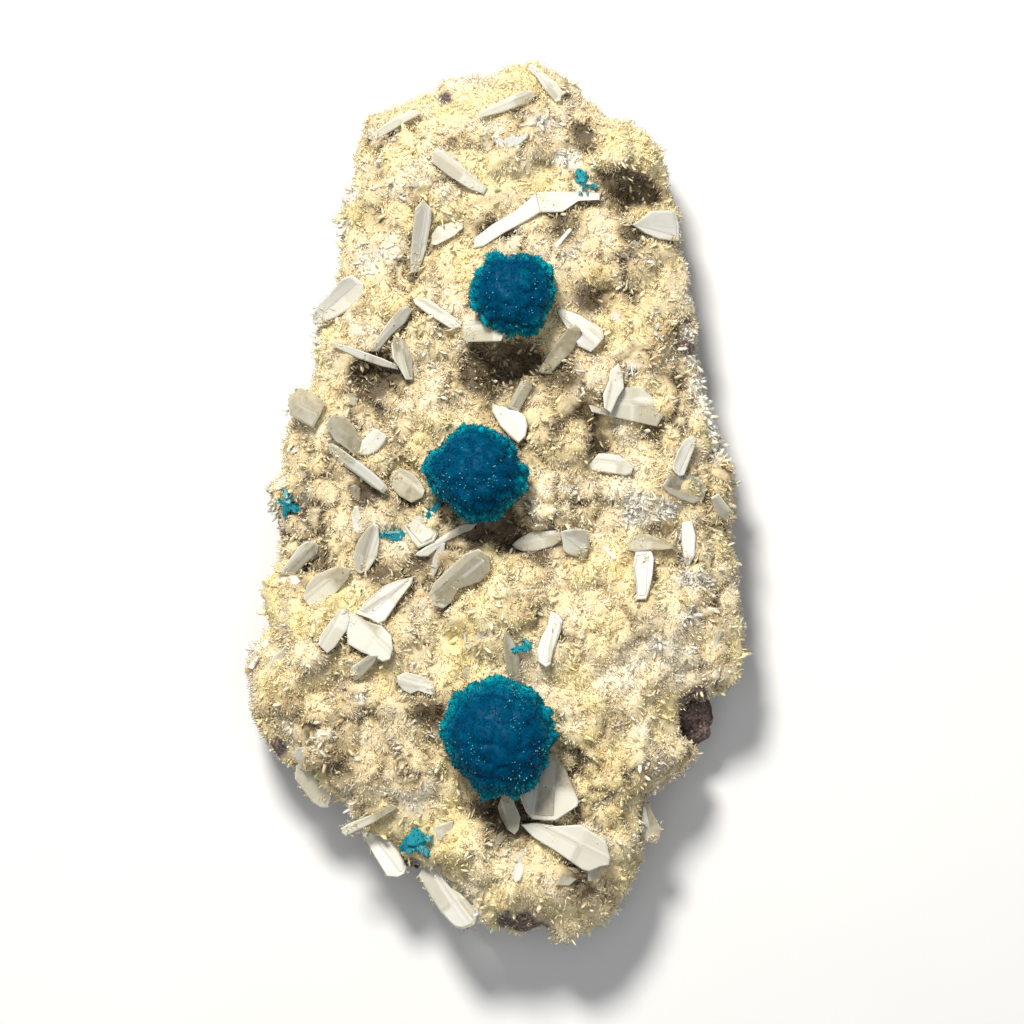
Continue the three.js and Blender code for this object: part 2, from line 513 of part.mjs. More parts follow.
// Blades that grow through each other are one solid. Each stays clear of its other neighbours.
const cavansiteRoom = wasm.Manifold.union(sockets);
const clusters = [];
BLADES.forEach((row) => {
  const blade = restingBlade(row);
  const joined = { solid: solidFrom(blade).subtract(cavansiteRoom), room: solidFrom(grown(blade, SEAT_GAP)) };
  const crossed = clusters.filter((cluster) => cluster.solid.intersect(joined.solid).volume() > 0);
  const others = clusters.filter((cluster) => !crossed.includes(cluster));
  crossed.forEach((cluster) => {
    joined.solid = joined.solid.add(cluster.solid);
    joined.room = joined.room.add(cluster.room);
  });
  others.forEach((cluster) => {
    joined.solid = joined.solid.subtract(cluster.room);
  });
  clusters.splice(0, clusters.length, ...others, joined);
});
clusters.forEach((cluster, index) => {
  const name = `stilbite_blade_${String(index + 1).padStart(2, '0')}`;
  addPiece(name, cleaned(cluster.solid, CRYSTAL_TOLERANCE), STILBITE);
  sockets.push(cluster.room);
});

const rock = rockGeometry();
addPiece('basalt_matrix', solidFrom(rock), BASALT);
addPiece('stilbite_druse', druseSolid(rock, sockets), DRUSE);

// The specimen stands with the middle of its underside at the origin.
const box = new THREE.Box3().setFromObject(specimen);
const middle = box.getCenter(new THREE.Vector3());
specimen.position.set(-middle.x, -middle.y, -box.min.z);

export default specimen;
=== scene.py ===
"""Looks of a cavansite specimen: basalt slab, stilbite druse, cavansite balls and sprays, stilbite blades."""

import bmesh
import bpy
import numpy as np
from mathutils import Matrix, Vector
from mathutils.bvhtree import BVHTree
from mathutils.kdtree import KDTree


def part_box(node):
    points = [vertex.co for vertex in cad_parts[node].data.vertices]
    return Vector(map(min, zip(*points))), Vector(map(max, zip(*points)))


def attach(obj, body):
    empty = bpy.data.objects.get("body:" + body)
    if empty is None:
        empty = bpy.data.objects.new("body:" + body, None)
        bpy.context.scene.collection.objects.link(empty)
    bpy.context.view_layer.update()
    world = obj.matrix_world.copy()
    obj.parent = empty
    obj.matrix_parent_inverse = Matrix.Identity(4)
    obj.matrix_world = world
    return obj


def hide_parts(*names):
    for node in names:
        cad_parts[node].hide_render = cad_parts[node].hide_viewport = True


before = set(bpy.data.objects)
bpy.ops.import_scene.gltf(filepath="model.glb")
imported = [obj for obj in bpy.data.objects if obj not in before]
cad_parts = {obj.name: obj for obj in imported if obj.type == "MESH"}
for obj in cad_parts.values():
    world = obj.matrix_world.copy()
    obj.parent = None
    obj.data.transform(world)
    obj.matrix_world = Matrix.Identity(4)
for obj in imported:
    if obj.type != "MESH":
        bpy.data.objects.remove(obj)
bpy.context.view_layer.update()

MM = 0.001
BODY = "root"

# ---------------------------------------------------------------- camera and light, millimetres

PICTURE_WIDTH = 102.4        # of the plane that the camera frames
PICTURE_CENTRE = (1.85, -0.85)
PICTURE_PLANE = 14.0         # its height above the floor
FOCAL = 200.0
SENSOR = 36.0

# Lights: the way to each from the specimen, its distance, its size, its power in watts and its colour.
LIGHTS = {
    "key": ((-0.2, 0.56, 0.93), 520.0, 110.0, 3.2, (1.0, 0.97, 0.92)),
    "fill": ((0.05, -0.15, 1.0), 700.0, 600.0, 1.5, (0.95, 0.97, 1.0)),
}
ROOM_COLOUR = (0.95, 0.97, 1.0, 1.0)
ROOM_STRENGTH = 0.12
FLOOR_HALF = 900.0

# ---------------------------------------------------------------- sizes, millimetres

BASALT_VOXEL = 0.5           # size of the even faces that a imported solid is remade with
LEDGE_CELL = 3.4             # the basalt's ledges: their spread, height and slope
LEDGE_RISE = 0.7
LEDGE_SLOPE = 1.4
BREAK_ROUGHNESS = 0.7
BASALT_SINK = 0.75           # taken off again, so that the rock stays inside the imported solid
FOOT_HEIGHT = 0.35           # under it the slab keeps its outline and its flat base

DRUSE_VOXEL = 0.42
DRUSE_SINK = 0.3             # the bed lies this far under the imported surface, and its tufts rise from there
BED_DROP = 0.7               # taken off again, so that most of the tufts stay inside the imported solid
BED_GRAIN = 0.35
HOLLOW_DROP = 0.45           # how much deeper the darkest hollows are
BARE_FLATNESS = 0.7          # how much of the crust's relief is missing where the basalt is bare
TUFT_CELL = 2.7              # tufts of crystals, and the smaller knobs on them
TUFT_RISE = 0.95
KNOB_CELL = 1.3
KNOB_RISE = 0.34
CAP_SHARE = 0.82             # how far a tuft or knob reaches, as a share of its cell
TUFT_WARP = 1.9              # how far places are pushed about, so that no tuft is round
CREVICE_WIDTH = 0.42         # between tufts
CREVICE_DEPTH = 0.35
CRACK_WIDTH = 0.2            # between knobs
BLADE_SHADE_WIDTH = 0.45     # of the dark line in the druse along the lower side of a blade

DRUSE_SHARDS = 99000
PIECE_SHARDS = 45000         # in one piece, to keep it small
DRUSE_LATHS = 13000
PIECE_LATHS = 9000
GLINT_LATHS = 3              # at each place in GLINTS
ROOT_SINK = 0.06             # how far a crystal's root lies under the surface that it grows on
LATH_SINK = 0.1

END_DIP = 0.55               # how far the lower end of a stilbite blade dips into the druse
BLADE_THICKNESS = 0.55       # at least, and more for a wide one
SMALL_THICKNESS = 0.9
STEP_THICKNESS = 0.4
LEAF_THICKNESS = 0.45
BEVEL = 0.1
TOP_INSET = 0.17             # from a crystal's outline to its flat top, and less on a narrow one

LOBE_CELL = 2.4              # of a ball, and the knobs on it
BALL_KNOB_CELL = 1.25
LOBE_CREASE = 1.1
BALL_KNOB_CREASE = 0.42

END_TRIES = 120              # druse crystals tried on the lower end of a blade, and more for each mm2
END_TRIES_PER_AREA = 90
END_REACH = 0.16             # how far up they stand, as a share of the blade's length
EDGE_CRYSTALS = 5.5          # for each mm of its edges
STEP_WIDTH = 0.75            # least width of a blade with a growth step, and the share of those without one
STEP_MISSING = 0.45
SMALL_LIFT = 0.28            # how far a small blade lies over the druse, and more for a wide one
PACKED_SHARE = 0.3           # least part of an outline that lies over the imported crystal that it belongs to

SPLINTERS_PER_PAINTED_GLINT = 26     # on a ball
LEAF_LIFT = 0.15             # of a spray's leaf over the druse, and of each leaf over the one before
LEAF_RISE = 0.12
TIPS = 24                    # needles on a spray, and more for each mm2 of its leaves
TIPS_PER_AREA = 22

UNDERSIDE_TOP = 9.5          # below it, the druse hardly grows on faces that look down
ABOVE_ALL = 40.0             # height that rays are sent down from
BARE_GROUND = 9.0            # height taken where a ray meets nothing


# ---------------------------------------------------------------- where things are, millimetres

def crystals(rows):
    """Each row says how pale a crystal is, and then x and y of each corner of its outline."""
    return [(row[0], list(zip(row[1::2], row[2::2]))) for row in rows]


# Painted shade in the hollows of the druse and under the balls, and painted light on its heights: x, y, reach
# and how dark.
# Below zero is paler and more golden.
PAINTED_SHADE_SPOTS = [
    (-0.3, 12.9, 3.6, 0.9), (3.2, 14.4, 3, 0.8), (7.7, 12.9, 2.5, 0.5), (-11.9, 12.7, 2.2, 0.8),
    (-13.9, 12.4, 2, 0.7), (-9.9, 13.2, 1.6, 0.5), (9.7, 20.4, 2.6, 0.7), (13.2, 31.4, 2.4, 1),
    (15.2, 30.9, 2, 0.9), (13.2, 26.9, 1.8, 0.7), (9, 36.4, 2, 0.6), (2.7, 38.4, 1.8, 0.3),
    (-2.4, 28.4, 1.8, 0.35), (6.7, 28.2, 1.6, 0.5), (10.4, 6.7, 1.9, 0.85), (8.7, 9.4, 1.8, 0.55),
    (6.2, 7.6, 2, 0.45), (15.2, 7.4, 2.2, 0.45), (8.2, 3.9, 1.6, 0.5), (17.7, 16.9, 2, 0.5),
    (18.7, 12.6, 2, 0.5), (-12.9, 0.9, 2, 0.7), (-9.1, -0.1, 1.8, 0.45), (1.7, -2.8, 2.8, 0.9),
    (-1.3, -3.1, 2, 0.6), (4.7, -5.3, 1.5, 0.6), (-17.1, -5.3, 2, 0.45), (-11.9, -7.1, 2, 0.5),
    (-7.4, -6.4, 1.6, 0.35), (-4.9, -11.1, 1.2, 0.4), (-6.4, -20.8, 2.2, 0.7), (-15.4, -19.1, 2.4, 0.4),
    (-15.9, -26.1, 2.6, 0.45), (-21.3, -20.1, 2.2, 0.35), (-0.3, -30.8, 2.4, 0.8), (2.2, -32.6, 2.4, 0.7),
    (8.2, -25.6, 1.8, 0.6), (11.2, -23.1, 2.2, 0.35), (8.7, -39.1, 2.4, 0.45), (7.7, -36.6, 1.8, 0.3),
    (16.7, -29.1, 2.4, 0.35), (-18.9, -13.6, 4, -0.4), (10.7, -17.1, 4, -0.35), (13.2, 35.9, 3.2, -0.35),
    (-14.9, 18.4, 3, -0.3), (-2.4, -9.6, 3.5, -0.3), (8.2, -22.8, 1.6, -0.3), (-2.4, -36.6, 4.5, -0.5),
    (-0.4, -38.6, 3, -0.5), (-7.4, 37.9, 4, -0.2), (8.4, 37.4, 1.6, 0.55), (11.2, 32.6, 1.4, 0.6),
    (13.6, 21.4, 1.7, 0.55), (-0.6, 27.7, 1.4, 0.45), (6.2, 34, 1.7, 0.45), (-1.9, 1.2, 5.5, 0.35),
    (0.4, -26.4, 5.5, 0.35)]

# Where the basalt shows through the druse: x, y and reach.
BARE = [
    (-4.9, 40.7, 0.8), (19, 15.7, 0.9), (19.8, 15.5, 0.8), (19.4, 18.4, 0.5), (-8.1, -36.6, 1.2),
    (-21.7, -24.5, 1.1), (3, -42.4, 1.6), (1.2, -41.9, 1), (4.6, -43, 1.2), (19.8, -20.3, 1.6),
    (21.2, -21.8, 1.4), (20.6, -19.2, 1.2), (21.5, -23.6, 0.9), (15.6, -29.5, 0.4), (1.4, -40.8, 0.35)]

# Outlines of the balls as seen from above: degrees from +X and the radius there.
BALLS = {
    "cavansite_ball_upper": ((1.85, 21.05), 5200, [
        (8, 4.35), (27, 4.6), (46, 4.6), (60, 4.25), (79, 4), (97, 3.35), (106, 3.8), (117, 4.75),
        (126, 4.5), (139, 3.85), (155, 4.2), (171, 4.4), (189, 4.4), (209, 4.25), (235, 4.3), (262, 4.65),
        (276, 4.15), (291, 4.95), (301, 5.2), (315, 4.5), (331, 4.2), (347, 4.4)]),
    "cavansite_ball_middle": ((-1.9, 3.1), 7200, [
        (6, 5.6), (12, 4.65), (28, 4.95), (43, 4.9), (61, 4.6), (80, 4.85), (98, 4.95), (112, 4.55),
        (125, 4.5), (145, 4.1), (159, 5.05), (168, 5.1), (177, 5.4), (186, 4.9), (194, 4.7), (216, 4.3),
        (240, 4.2), (255, 4.8), (266, 5.15), (280, 5), (295, 5.3), (307, 5.15), (321, 4.65), (326, 5.2),
        (344, 5.55), (353, 5.3)]),
    "cavansite_ball_lower": ((0.5, -23.2), 9000, [
        (2, 6.1), (9, 5.5), (18, 5.7), (29, 5.85), (40, 5.7), (51, 6), (62, 5.8), (74, 6), (84, 6.1),
        (94, 6.4), (106, 6.1), (118, 6.3), (127, 5.9), (135, 6.45), (146, 6), (158, 5.7), (169, 6.05),
        (180, 5.9), (190, 5.3), (199, 5.1), (214, 5.2), (230, 5.1), (242, 5.5), (257, 6.5), (268, 6),
        (276, 5.6), (286, 6.6), (295, 6), (303, 6.1), (316, 5.9), (328, 5.75), (338, 5.3), (345, 5.2),
        (355, 5.9)]),
}

# Stilbite crystals seen from above: how milky, 0 clear to 1 white, and the corners of the outline.
STILBITE = crystals([
    (0.55, -12.7, 36.7, -12, 36.3, -8.7, 38.2, -7.3, 38.9, -7.6, 39.3, -8.4, 39.3, -10.4, 38.3),
    (0.8, -12, 34, -11.7, 33.8, -9.2, 36.85, -9.5, 37.1, -9.9, 36.85, -10.7, 36),
    (0.6, -12.15, 32.9, -11.9, 32.6, -11.1, 33.4, -11.2, 33.6),
    (0.45, -6.2, 35, -5.5, 35.3, -4.9, 35.2, -2.8, 33.35, -1.15, 32, -0.6, 31.5, -1, 30.9, -2.3, 31.35,
     -4.5, 32.7, -6.15, 34),
    (0.5, -8.5, 31.6, -8.1, 32, -5.65, 32.95, -4.65, 33.1, -4.8, 32.5, -7.65, 31.5),
    (0.45, -7, 30.25, -6.15, 29.35, -6.25, 28, -6.75, 25.35, -7.5, 23.2, -8.3, 23, -8.3, 24.35,
     -8.05, 27.35, -7.8, 29.35),
    (0.6, -3.07, 28.1, -3.07, 27.5, -4, 26.7, -5.7, 25.8, -6.2, 25.85, -6.15, 26.9, -5.6, 27.7, -4, 28.2),
    (0.8, -2, 25.5, -1.9, 26.5, -0.15, 27.85, 1.85, 29, 3.2, 30, 4.2, 31, 4.7, 29.1, 3.5, 28.35, 1, 27,
     -1, 25.7),
    (0.75, 3.8, 30.6, 4.4, 31.1, 5.2, 31.2, 10.6, 31, 10.6, 30.3, 8.5, 30.2, 6.9, 29.1, 4.5, 29.1),
    (0.7, -1.3, 38.4, -1.5, 38.7, -0.15, 39.7, 3.2, 41.3, 4.2, 41.1, 4.2, 40.7, 3.5, 40, 0.85, 39),
    (0.85, 3.6, 44.1, 4.2, 43.85, 5.2, 43, 6.2, 42.2, 6.85, 41.2, 6.7, 40.3, 6.2, 40.2, 5.2, 41.35,
     4.2, 42.85, 3.5, 43.5),
    (0.9, 6.05, 25.75, 6.35, 25.45, 8.3, 27.85, 8.3, 28.15, 8, 28.1),
    (0.5, 12.75, 24.6, 12.6, 24.9, 14.2, 26.5, 14.85, 26.35, 14.8, 26, 13.35, 24.5),
    (0.95, 13.85, 27.85, 14.85, 28.5, 15.7, 29.25, 18.2, 29.35, 18.6, 27.7, 18.6, 26.35, 17.7, 26.35,
     16.5, 26.5, 15.2, 27),
    (0.9, -0.25, 36.5, 0.7, 37.5, 1.7, 37, 2.35, 36.5, 3.5, 36.85, 3.4, 36.35, 2.35, 35.5, 0.85, 35.35,
     0, 36),
    (0.95, -18.15, 19, -17.8, 19.7, -16.15, 21.35, -15.15, 22.5, -14.15, 22.9, -13, 22, -13, 20.85,
     -14.5, 19.5, -15.8, 18.7, -17.5, 18, -18.15, 18.1),
    (0.85, -16.3, 16.2, -16, 15.7, -13.5, 14.5, -11.15, 13.7, -9.5, 13.35, -9.6, 13.8, -11.15, 14.5,
     -14.5, 15.7),
    (0.5, -12.5, 15.2, -12.2, 15.7, -10.3, 18.35, -9.3, 19.4, -8.5, 19.7, -8.15, 19.1, -8.8, 18,
     -10.15, 16.85, -11.5, 15.2),
    (0.4, -9.9, 16.7, -9.15, 16.6, -8.5, 15.9, -8.15, 15, -8.05, 13.7, -8.05, 12.35, -8.75, 12.35,
     -9.3, 13.35, -10.05, 14.5, -10.2, 15.85),
    (0.95, -8, 20.35, -7.65, 20.5, -6.5, 20.4, -4.5, 19, -3.15, 18.1, -3.3, 17.6, -4.15, 17.4, -4.8, 17.8,
     -6.5, 18.85, -7.8, 19.85),
    (0.45, -3, 18.1, -2.3, 18.2, 0.2, 18.3, 1, 18.1, 1.25, 17.7, 1.2, 17, 0.7, 16.1, -0.65, 16.1,
     -2.65, 16.1, -3.05, 16.5),
    (0.35, -19.3, 11.6, -17.5, 10.7, -16.8, 10, -17.3, 8.85, -18, 7.5, -19.5, 8.35, -20.4, 8.85,
     -20.55, 10.2, -20.3, 10.85),
    (0.35, -16.5, 7.35, -16.55, 8.2, -16.15, 8.8, -14.8, 8.7, -13.8, 7.5, -13.15, 6.2, -13.5, 4.5,
     -14.5, 5.35, -15.8, 6.2),
    (0.5, -16.5, 5.85, -16.3, 6, -15.5, 5.7, -14.15, 4.7, -12.3, 3.35, -11.15, 2.35, -10.5, 1.5, -11, 1,
     -12.15, 1.7, -13.8, 3, -15.5, 4.2, -16.3, 5),
    (1, -13.7, 5.2, -13.15, 6.2, -12, 7.4, -11.5, 7.4, -10.65, 6.7, -10.8, 6.2, -11.5, 5.35, -12.5, 4.8,
     -13.3, 4.85),
    (0.15, -15.5, 11, -13.8, 11, -13.55, 10.5, -13.8, 9.7, -14.65, 10, -15.3, 10.5),
    (0.2, -10.15, 3.2, -9.3, 3.55, -8, 3, -7.2, 2, -6.85, 1.3, -7.1, 0.6, -8.2, 0.1, -9.3, 0.7, -10.1, 1.5,
     -10.4, 2.4),
    (0.9, 6.35, 19.4, 6.85, 19.5, 8.5, 18.85, 10.9, 17.4, 11, 16.5, 10.35, 15.7, 9.7, 15.1, 8.5, 15.7,
     7.5, 17.2, 6.5, 18.85),
    (0.35, 4.5, 13.2, 4.85, 13.85, 6.2, 16, 7.5, 17.5, 8.2, 17.7, 8.7, 17.4, 8.5, 16.5, 7.85, 15.2,
     6.85, 14.2, 5.7, 13, 5, 12.95),
    (0.3, 1.4, 9.6, 2.7, 12.2, 3.35, 12.4, 3.8, 12.2, 3.85, 11.5, 2.5, 9.2),
    (0.5, -0.15, 10, 1, 9.7, 2.5, 9.2, 3.25, 8.6, 3.4, 7.7, 3.2, 6.7, 2.5, 6, 1.85, 6.5, 0.7, 7.7,
     -0.15, 9.2),
    (0.95, 11.6, 13.2, 12.5, 14, 12.9, 12.85, 13, 11.5, 12.35, 10.5, 11.7, 9, 11, 9.5, 10.9, 10.85,
     11.5, 12.2),
    (0.6, 9.5, 9.8, 11.5, 9.1, 12.2, 10.5, 13.2, 11.6, 14.9, 11.7, 15.9, 10.6, 16.2, 9.5, 17, 8.8,
     16.3, 7.7, 13, 8.4, 9.8, 9.1),
    (0.85, 9.5, 3.85, 10.5, 5, 12.5, 4.85, 13.5, 4, 13.95, 3.7, 13.75, 3, 13.2, 2.8, 11.2, 3.1, 9.8, 3.35),
    (0.95, 17.8, 3.6, 18.35, 5.2, 19.2, 6.5, 20, 6.7, 20.2, 5.85, 19.7, 4.7, 19, 2.85, 18.5, 2.7,
     17.9, 3.3),
    (0.3, 16.8, 1.8, 17.5, 2.8, 18.9, 3, 20.5, 2.6, 21.4, 1.5, 21, 0.4, 20, 0, 18.8, 0.4, 17.5, 1),
    (0.7, 11.75, 18.7, 12.35, 19.4, 12.85, 19.6, 12.85, 19, 12.3, 18.2, 11.75, 18.35),
    (0.85, -22.8, 1.6, -21, 2.8, -19, 3.3, -18.5, 2.9, -19.3, 2.2, -21.5, 1.4, -22.5, 1.1),
    (0.25, -19.8, 1.4, -18.2, 1.2, -17.6, 0.5, -18.3, -0.4, -19.7, -0.1),
    (1, -13.95, -0.3, -13.5, -0.25, -13.2, -1.5, -13.05, -2.65, -13.2, -3.15, -13.8, -3.9, -14.1, -3,
     -14.2, -1.65),
    (0.1, -14.3, 1.7, -13.8, 1.9, -13.3, 1.5, -13.4, -0.2, -14.1, -0.2),
    (0.45, -12, -2, -11.5, -2.15, -11.4, -3.8, -11.65, -5.3, -12.5, -6.65, -13.3, -7, -13.9, -6.65,
     -14, -5.15, -13.5, -3.65, -12.65, -2.5),
    (0.25, -9, -2.15, -8.3, -1.25, -7.3, -1.05, -6.5, -1.65, -5.5, -3, -5.9, -3.8, -7.5, -4.5, -8.15, -3.8,
     -8.5, -3.15),
    (0.7, -7.8, -5.15, -7.65, -4.9, -5.5, -3.5, -3.3, -2.15, -1.55, -1.9, -2.15, -2.65, -3.15, -3,
     -4.8, -3.8, -6.5, -5.25, -7.3, -5.3),
    (0.65, -5.5, -4.15, -4.8, -3.9, -4.9, -4.65, -5.55, -6.5, -6.15, -7.8, -6.7, -9.15, -7.3, -9,
     -6.9, -7.8, -6.3, -6.5, -5.9, -5.15),
    (0.4, -6.4, -9, -6, -8, -4.5, -6.5, -2.8, -5, -1.5, -4.5, -0.4, -5.2, -0.3, -6.7, -1.3, -7.8,
     -3.5, -8.5, -4.2, -9.8, -5, -10.5, -6, -10.2),
    (0.5, -21.4, -7.15, -21.15, -6.5, -19.5, -4.3, -18.8, -3.8, -17.8, -3.8, -17.5, -4.25, -17.65, -5,
     -18.8, -6, -20, -7.15),
    (0.8, -22.5, -8, -21.8, -7.5, -19.8, -7.25, -19.3, -7.8, -19.8, -8.2, -21.5, -7.8),
    (0.4, -19, -9.5, -18.65, -8.15, -17.8, -7.15, -16.3, -6.5, -15.5, -6.25, -14.2, -6.65, -14.5, -7.5,
     -15.8, -9, -16.8, -9.8, -18.3, -10.5),
    (0.75, -17.4, -14, -17.15, -13, -15.8, -11.15, -15.3, -10.5, -14.5, -10.65, -14.15, -11.5,
     -14.65, -12.65, -15.8, -14.3, -16.5, -14.9),
    (0.65, -15.3, -10.4, -13.8, -11, -12.5, -11.8, -11.15, -12.15, -10.15, -13.15, -10, -14.5, -10.3, -15.5,
     -11, -15.75, -11.8, -15.3, -13.15, -14.8, -14.5, -14, -14.65, -12.65, -14.5, -11.65),
    (0.85, -13.7, -11, -12.8, -9.8, -10.8, -8.15, -9.5, -7.65, -8, -7.3, -8.15, -8, -9.3, -9.5,
     -10.8, -11.65, -11.5, -12, -12.3, -11.5),
    (0.5, -14.4, -17.15, -14.15, -16.3, -12.3, -15, -11.5, -15.1, -11.8, -15.8, -13, -17.15, -13.8, -17.7),
    (0.75, -9.65, -17.25, -8.8, -16.8, -7.3, -17.15, -6.15, -17.8, -5.8, -18.65, -6.05, -19.15,
     -7.5, -18.65, -8.3, -19, -9, -18.65, -9.5, -18),
    (1, -24.7, -16.5, -23.9, -15.3, -23.3, -14, -22.3, -13.15, -22.8, -14.3, -24.2, -16.65),
    (0.5, -22.8, -17.1, -22, -15.2, -20.6, -14.1, -20.5, -14.6, -21.8, -16.5, -22.5, -17.4),
    (0.6, -3.15, -12.2, -2.9, -14, -2.5, -14.7, -2.2, -14.3, -2.7, -12.5),
    (0.6, -2.4, -14.3, -1.2, -13.4, -0.6, -12.7, -1, -12.6, -2.3, -13.6),
    (0.2, -3.2, -17.2, -2.9, -15.9, -2.3, -15.8, -2.1, -16.4, -2.5, -17.5),
    (0.6, 1.85, -4.15, 2.35, -3.65, 3.85, -2.8, 5.2, -2.75, 6.5, -2.65, 6.85, -2.9, 7, -3.5, 6.7, -3.8,
     5.85, -4.3, 4.2, -4.75, 3, -4.8, 2.2, -4.5),
    (0.4, 6.7, -2.8, 7.7, -2.5, 9.2, -2.6, 9.5, -3.15, 9.6, -4.3, 9.3, -5.3, 8.85, -5.5, 7.35, -5, 7, -4.65,
     6.85, -3.65),
    (0.6, 9.75, -3.2, 10.05, -3, 12.25, -5.4, 12.15, -5.6, 11.95, -5.6),
    (0.35, 13.5, -4.65, 13.5, -3.5, 14.5, -3.05, 15.35, -3, 16.85, -3.65, 17.9, -4.05, 17.85, -4.5,
     16.85, -4.65, 15.7, -4.65, 14.2, -4.8),
    (0.45, 14.2, -4.65, 15.7, -4.5, 16, -5.5, 15.85, -7.15, 15.5, -8.8, 15.2, -9.55, 14.3, -9.55, 14.2, -8,
     13.9, -6.3),
    (0.8, 18.8, -1.9, 19.8, -1.7, 20.2, -3.2, 20.1, -5.2, 19.6, -6.2, 19.1, -6, 18.8, -4),
    (0.4, 21.7, 0.6, 22.5, 1, 23.6, -0.4, 24.2, -1.4, 23.6, -2, 22.4, -1.2),
    (0.55, 5.7, -10.7, 6.35, -11, 6.9, -11.65, 6.7, -12.8, 6, -14.65, 5.7, -16, 5.2, -16.3, 4.5, -15.8,
     4.3, -14.65, 4.7, -13.5, 5.35, -12.15),
    (0.35, 1.25, -12.65, 1.85, -13.3, 2.35, -14.3, 2.6, -15.8, 2.7, -17.8, 1.7, -17.5, 1.25, -16.3,
     0.95, -13.8),
    (0.7, 22.5, -12.6, 22.95, -12.75, 21.7, -15.9, 21.3, -15.7),
    (0.3, -19.8, -26.15, -18.65, -26, -17.65, -27, -16.8, -28, -15.7, -28.5, -16.15, -29, -16.5, -30,
     -16.7, -30.6, -17.3, -30.65, -18.15, -30.15, -19.15, -28.8, -20, -27.65),
    (1, -20, -25, -19.65, -24.4, -18.8, -24.4, -18.65, -25.3, -18.55, -26.15, -19, -26.7, -19.5, -26.65,
     -19.7, -25.8),
    (0.4, -15.2, -32.5, -14.5, -32.05, -12, -31.05, -10.15, -30, -9.65, -30.3, -9.8, -30.55, -11.8, -31.8,
     -13.5, -32.65, -14.8, -33.3, -15.2, -33.05),
    (0.95, -13.55, -32.65, -11.15, -33.15, -10.15, -34.15, -9.5, -35.15, -8.75, -36.55, -9, -37.25,
     -9.65, -37.55, -10.7, -37.45, -12.15, -35.15),
    (0.7, -7.55, -37.45, -7, -36.35, -6.2, -36.3, -5.5, -36.7, -5, -37.8, -4.3, -38.6, -3.3, -39.2,
     -2.4, -40.1, -1.6, -41, -1.55, -41.5, -2, -42.3, -3, -42.7, -3.7, -42.6, -4.2, -42.2, -5.3, -41,
     -6.3, -39.5),
    (0.6, -6.65, -32.8, -5.65, -32.15, -4, -31.65, -4.15, -32.5, -5.3, -33.65, -6.15, -34.15, -6.8, -33.5),
    (0.4, 2.35, -28.5, 3.5, -28, 5.35, -24.8, 6.2, -24.9, 7.2, -26.5, 8.5, -29.65, 8.35, -30.15, 7.2, -30.9,
     6.2, -31.55, 5.2, -31.55, 3.85, -31.4, 3.2, -30.65),
    (0.3, 0.4, -30.3, 1, -28.8, 1.7, -29, 2.7, -31.3, 2.5, -32.5, 2.1, -33, 1.35, -32.5, 0.7, -31.3),
    (0.85, 2.7, -32, 4.35, -31.8, 6.2, -32.15, 8.7, -32, 11.2, -33.65, 11.6, -35.3, 11.5, -36, 10.7, -36.15,
     9.5, -36.7, 8.85, -36.5, 6.2, -34.65, 4, -33.3),
    (0.5, 9.35, -36.5, 10.75, -36.3, 10.6, -37.5, 10.35, -38.55, 9.9, -38.75, 9.5, -37.8),
    (0.85, 1.6, -36.8, 2, -35.8, 3, -34.15, 3.5, -34.65, 3.2, -36.3, 2.7, -37.5, 2.2, -37.75),
    (0.2, -0.4, -33.65, 1, -32.65, 1.7, -32.8, 0.7, -34, 0.2, -34.25),
    (0.35, 6.2, -38, 6.7, -37, 7.5, -36.3, 8.8, -36.4, 8.35, -37.5, 7.5, -38.1),
    (0.35, 15, -30.15, 15.5, -30.15, 16.85, -32.8, 16.7, -33.65, 16.3, -34.15, 15.3, -34.15, 14.85, -33.5,
     14.8, -32.3),
    (0.3, 13.8, -31.3, 14.2, -30.9, 14.6, -31, 14.85, -33.3, 14.5, -33.65, 13.85, -32.5),
    (1, 14.4, -35.3, 14.8, -35.2, 14.95, -35.9, 14.6, -36.1),
    (0.4, 13.1, -38, 13.5, -38.5, 12.85, -40.15, 12.2, -41.1, 11.5, -40.65, 12.5, -38.65)])

# Single white crystals, whose white is partly painted sparkle, and fields of white crystals: x, y, half width
# and half height.
GLINTS = [
    (-15.8, 12.2), (-16.8, 10.5), (-9.9, 7.9), (-19.5, 5.4), (-16.1, 2.9), (-18.3, 1.7), (-3.3, 13),
    (-11.5, 29.5), (-10.15, 32), (-11.8, 31.3), (-10.2, 25), (11.35, 25.7), (15.1, 24.3), (15, 30.4),
    (12.9, 22.9), (12.85, 21.8), (13.3, 17.9), (15.2, -25.9), (10.4, -30), (12.9, -30.4), (12.1, -22.2),
    (-1.4, -41.25), (-6.5, -22.9), (-9.9, -25.4), (-8.3, -21.8), (16.1, 17.3), (16.7, 16.6), (19.4, 14.7),
    (-14.1, 31.5)]
FROST = [
    (14.1, -0.6, 1.3, 2.4), (17.3, -0.7, 1.5, 0.9), (19.2, -3.9, 1, 2.2), (20, -7.6, 1.7, 1),
    (19.7, -11.3, 1.2, 0.8), (16.1, -13.8, 0.7, 0.7), (7.4, 34.4, 1.5, 1.1), (4.7, 38.1, 1.4, 0.6),
    (-14.1, 31, 0.6, 1.2), (-14.9, 28, 0.5, 1), (-17.8, 16.8, 0.6, 1), (19.5, 17, 0.8, 0.9),
    (19.8, 14.2, 0.5, 0.9), (20.2, 12.2, 0.5, 1.1), (21, 10, 0.5, 1.4), (21.8, 7.5, 0.6, 1.5),
    (22.5, 5.2, 0.5, 1.2), (-13.2, -19.5, 0.6, 0.6), (-23.9, -14.5, 0.5, 1.6), (13.8, 13.6, 0.7, 0.7),
    (-22, -0.4, 0.6, 0.9)]

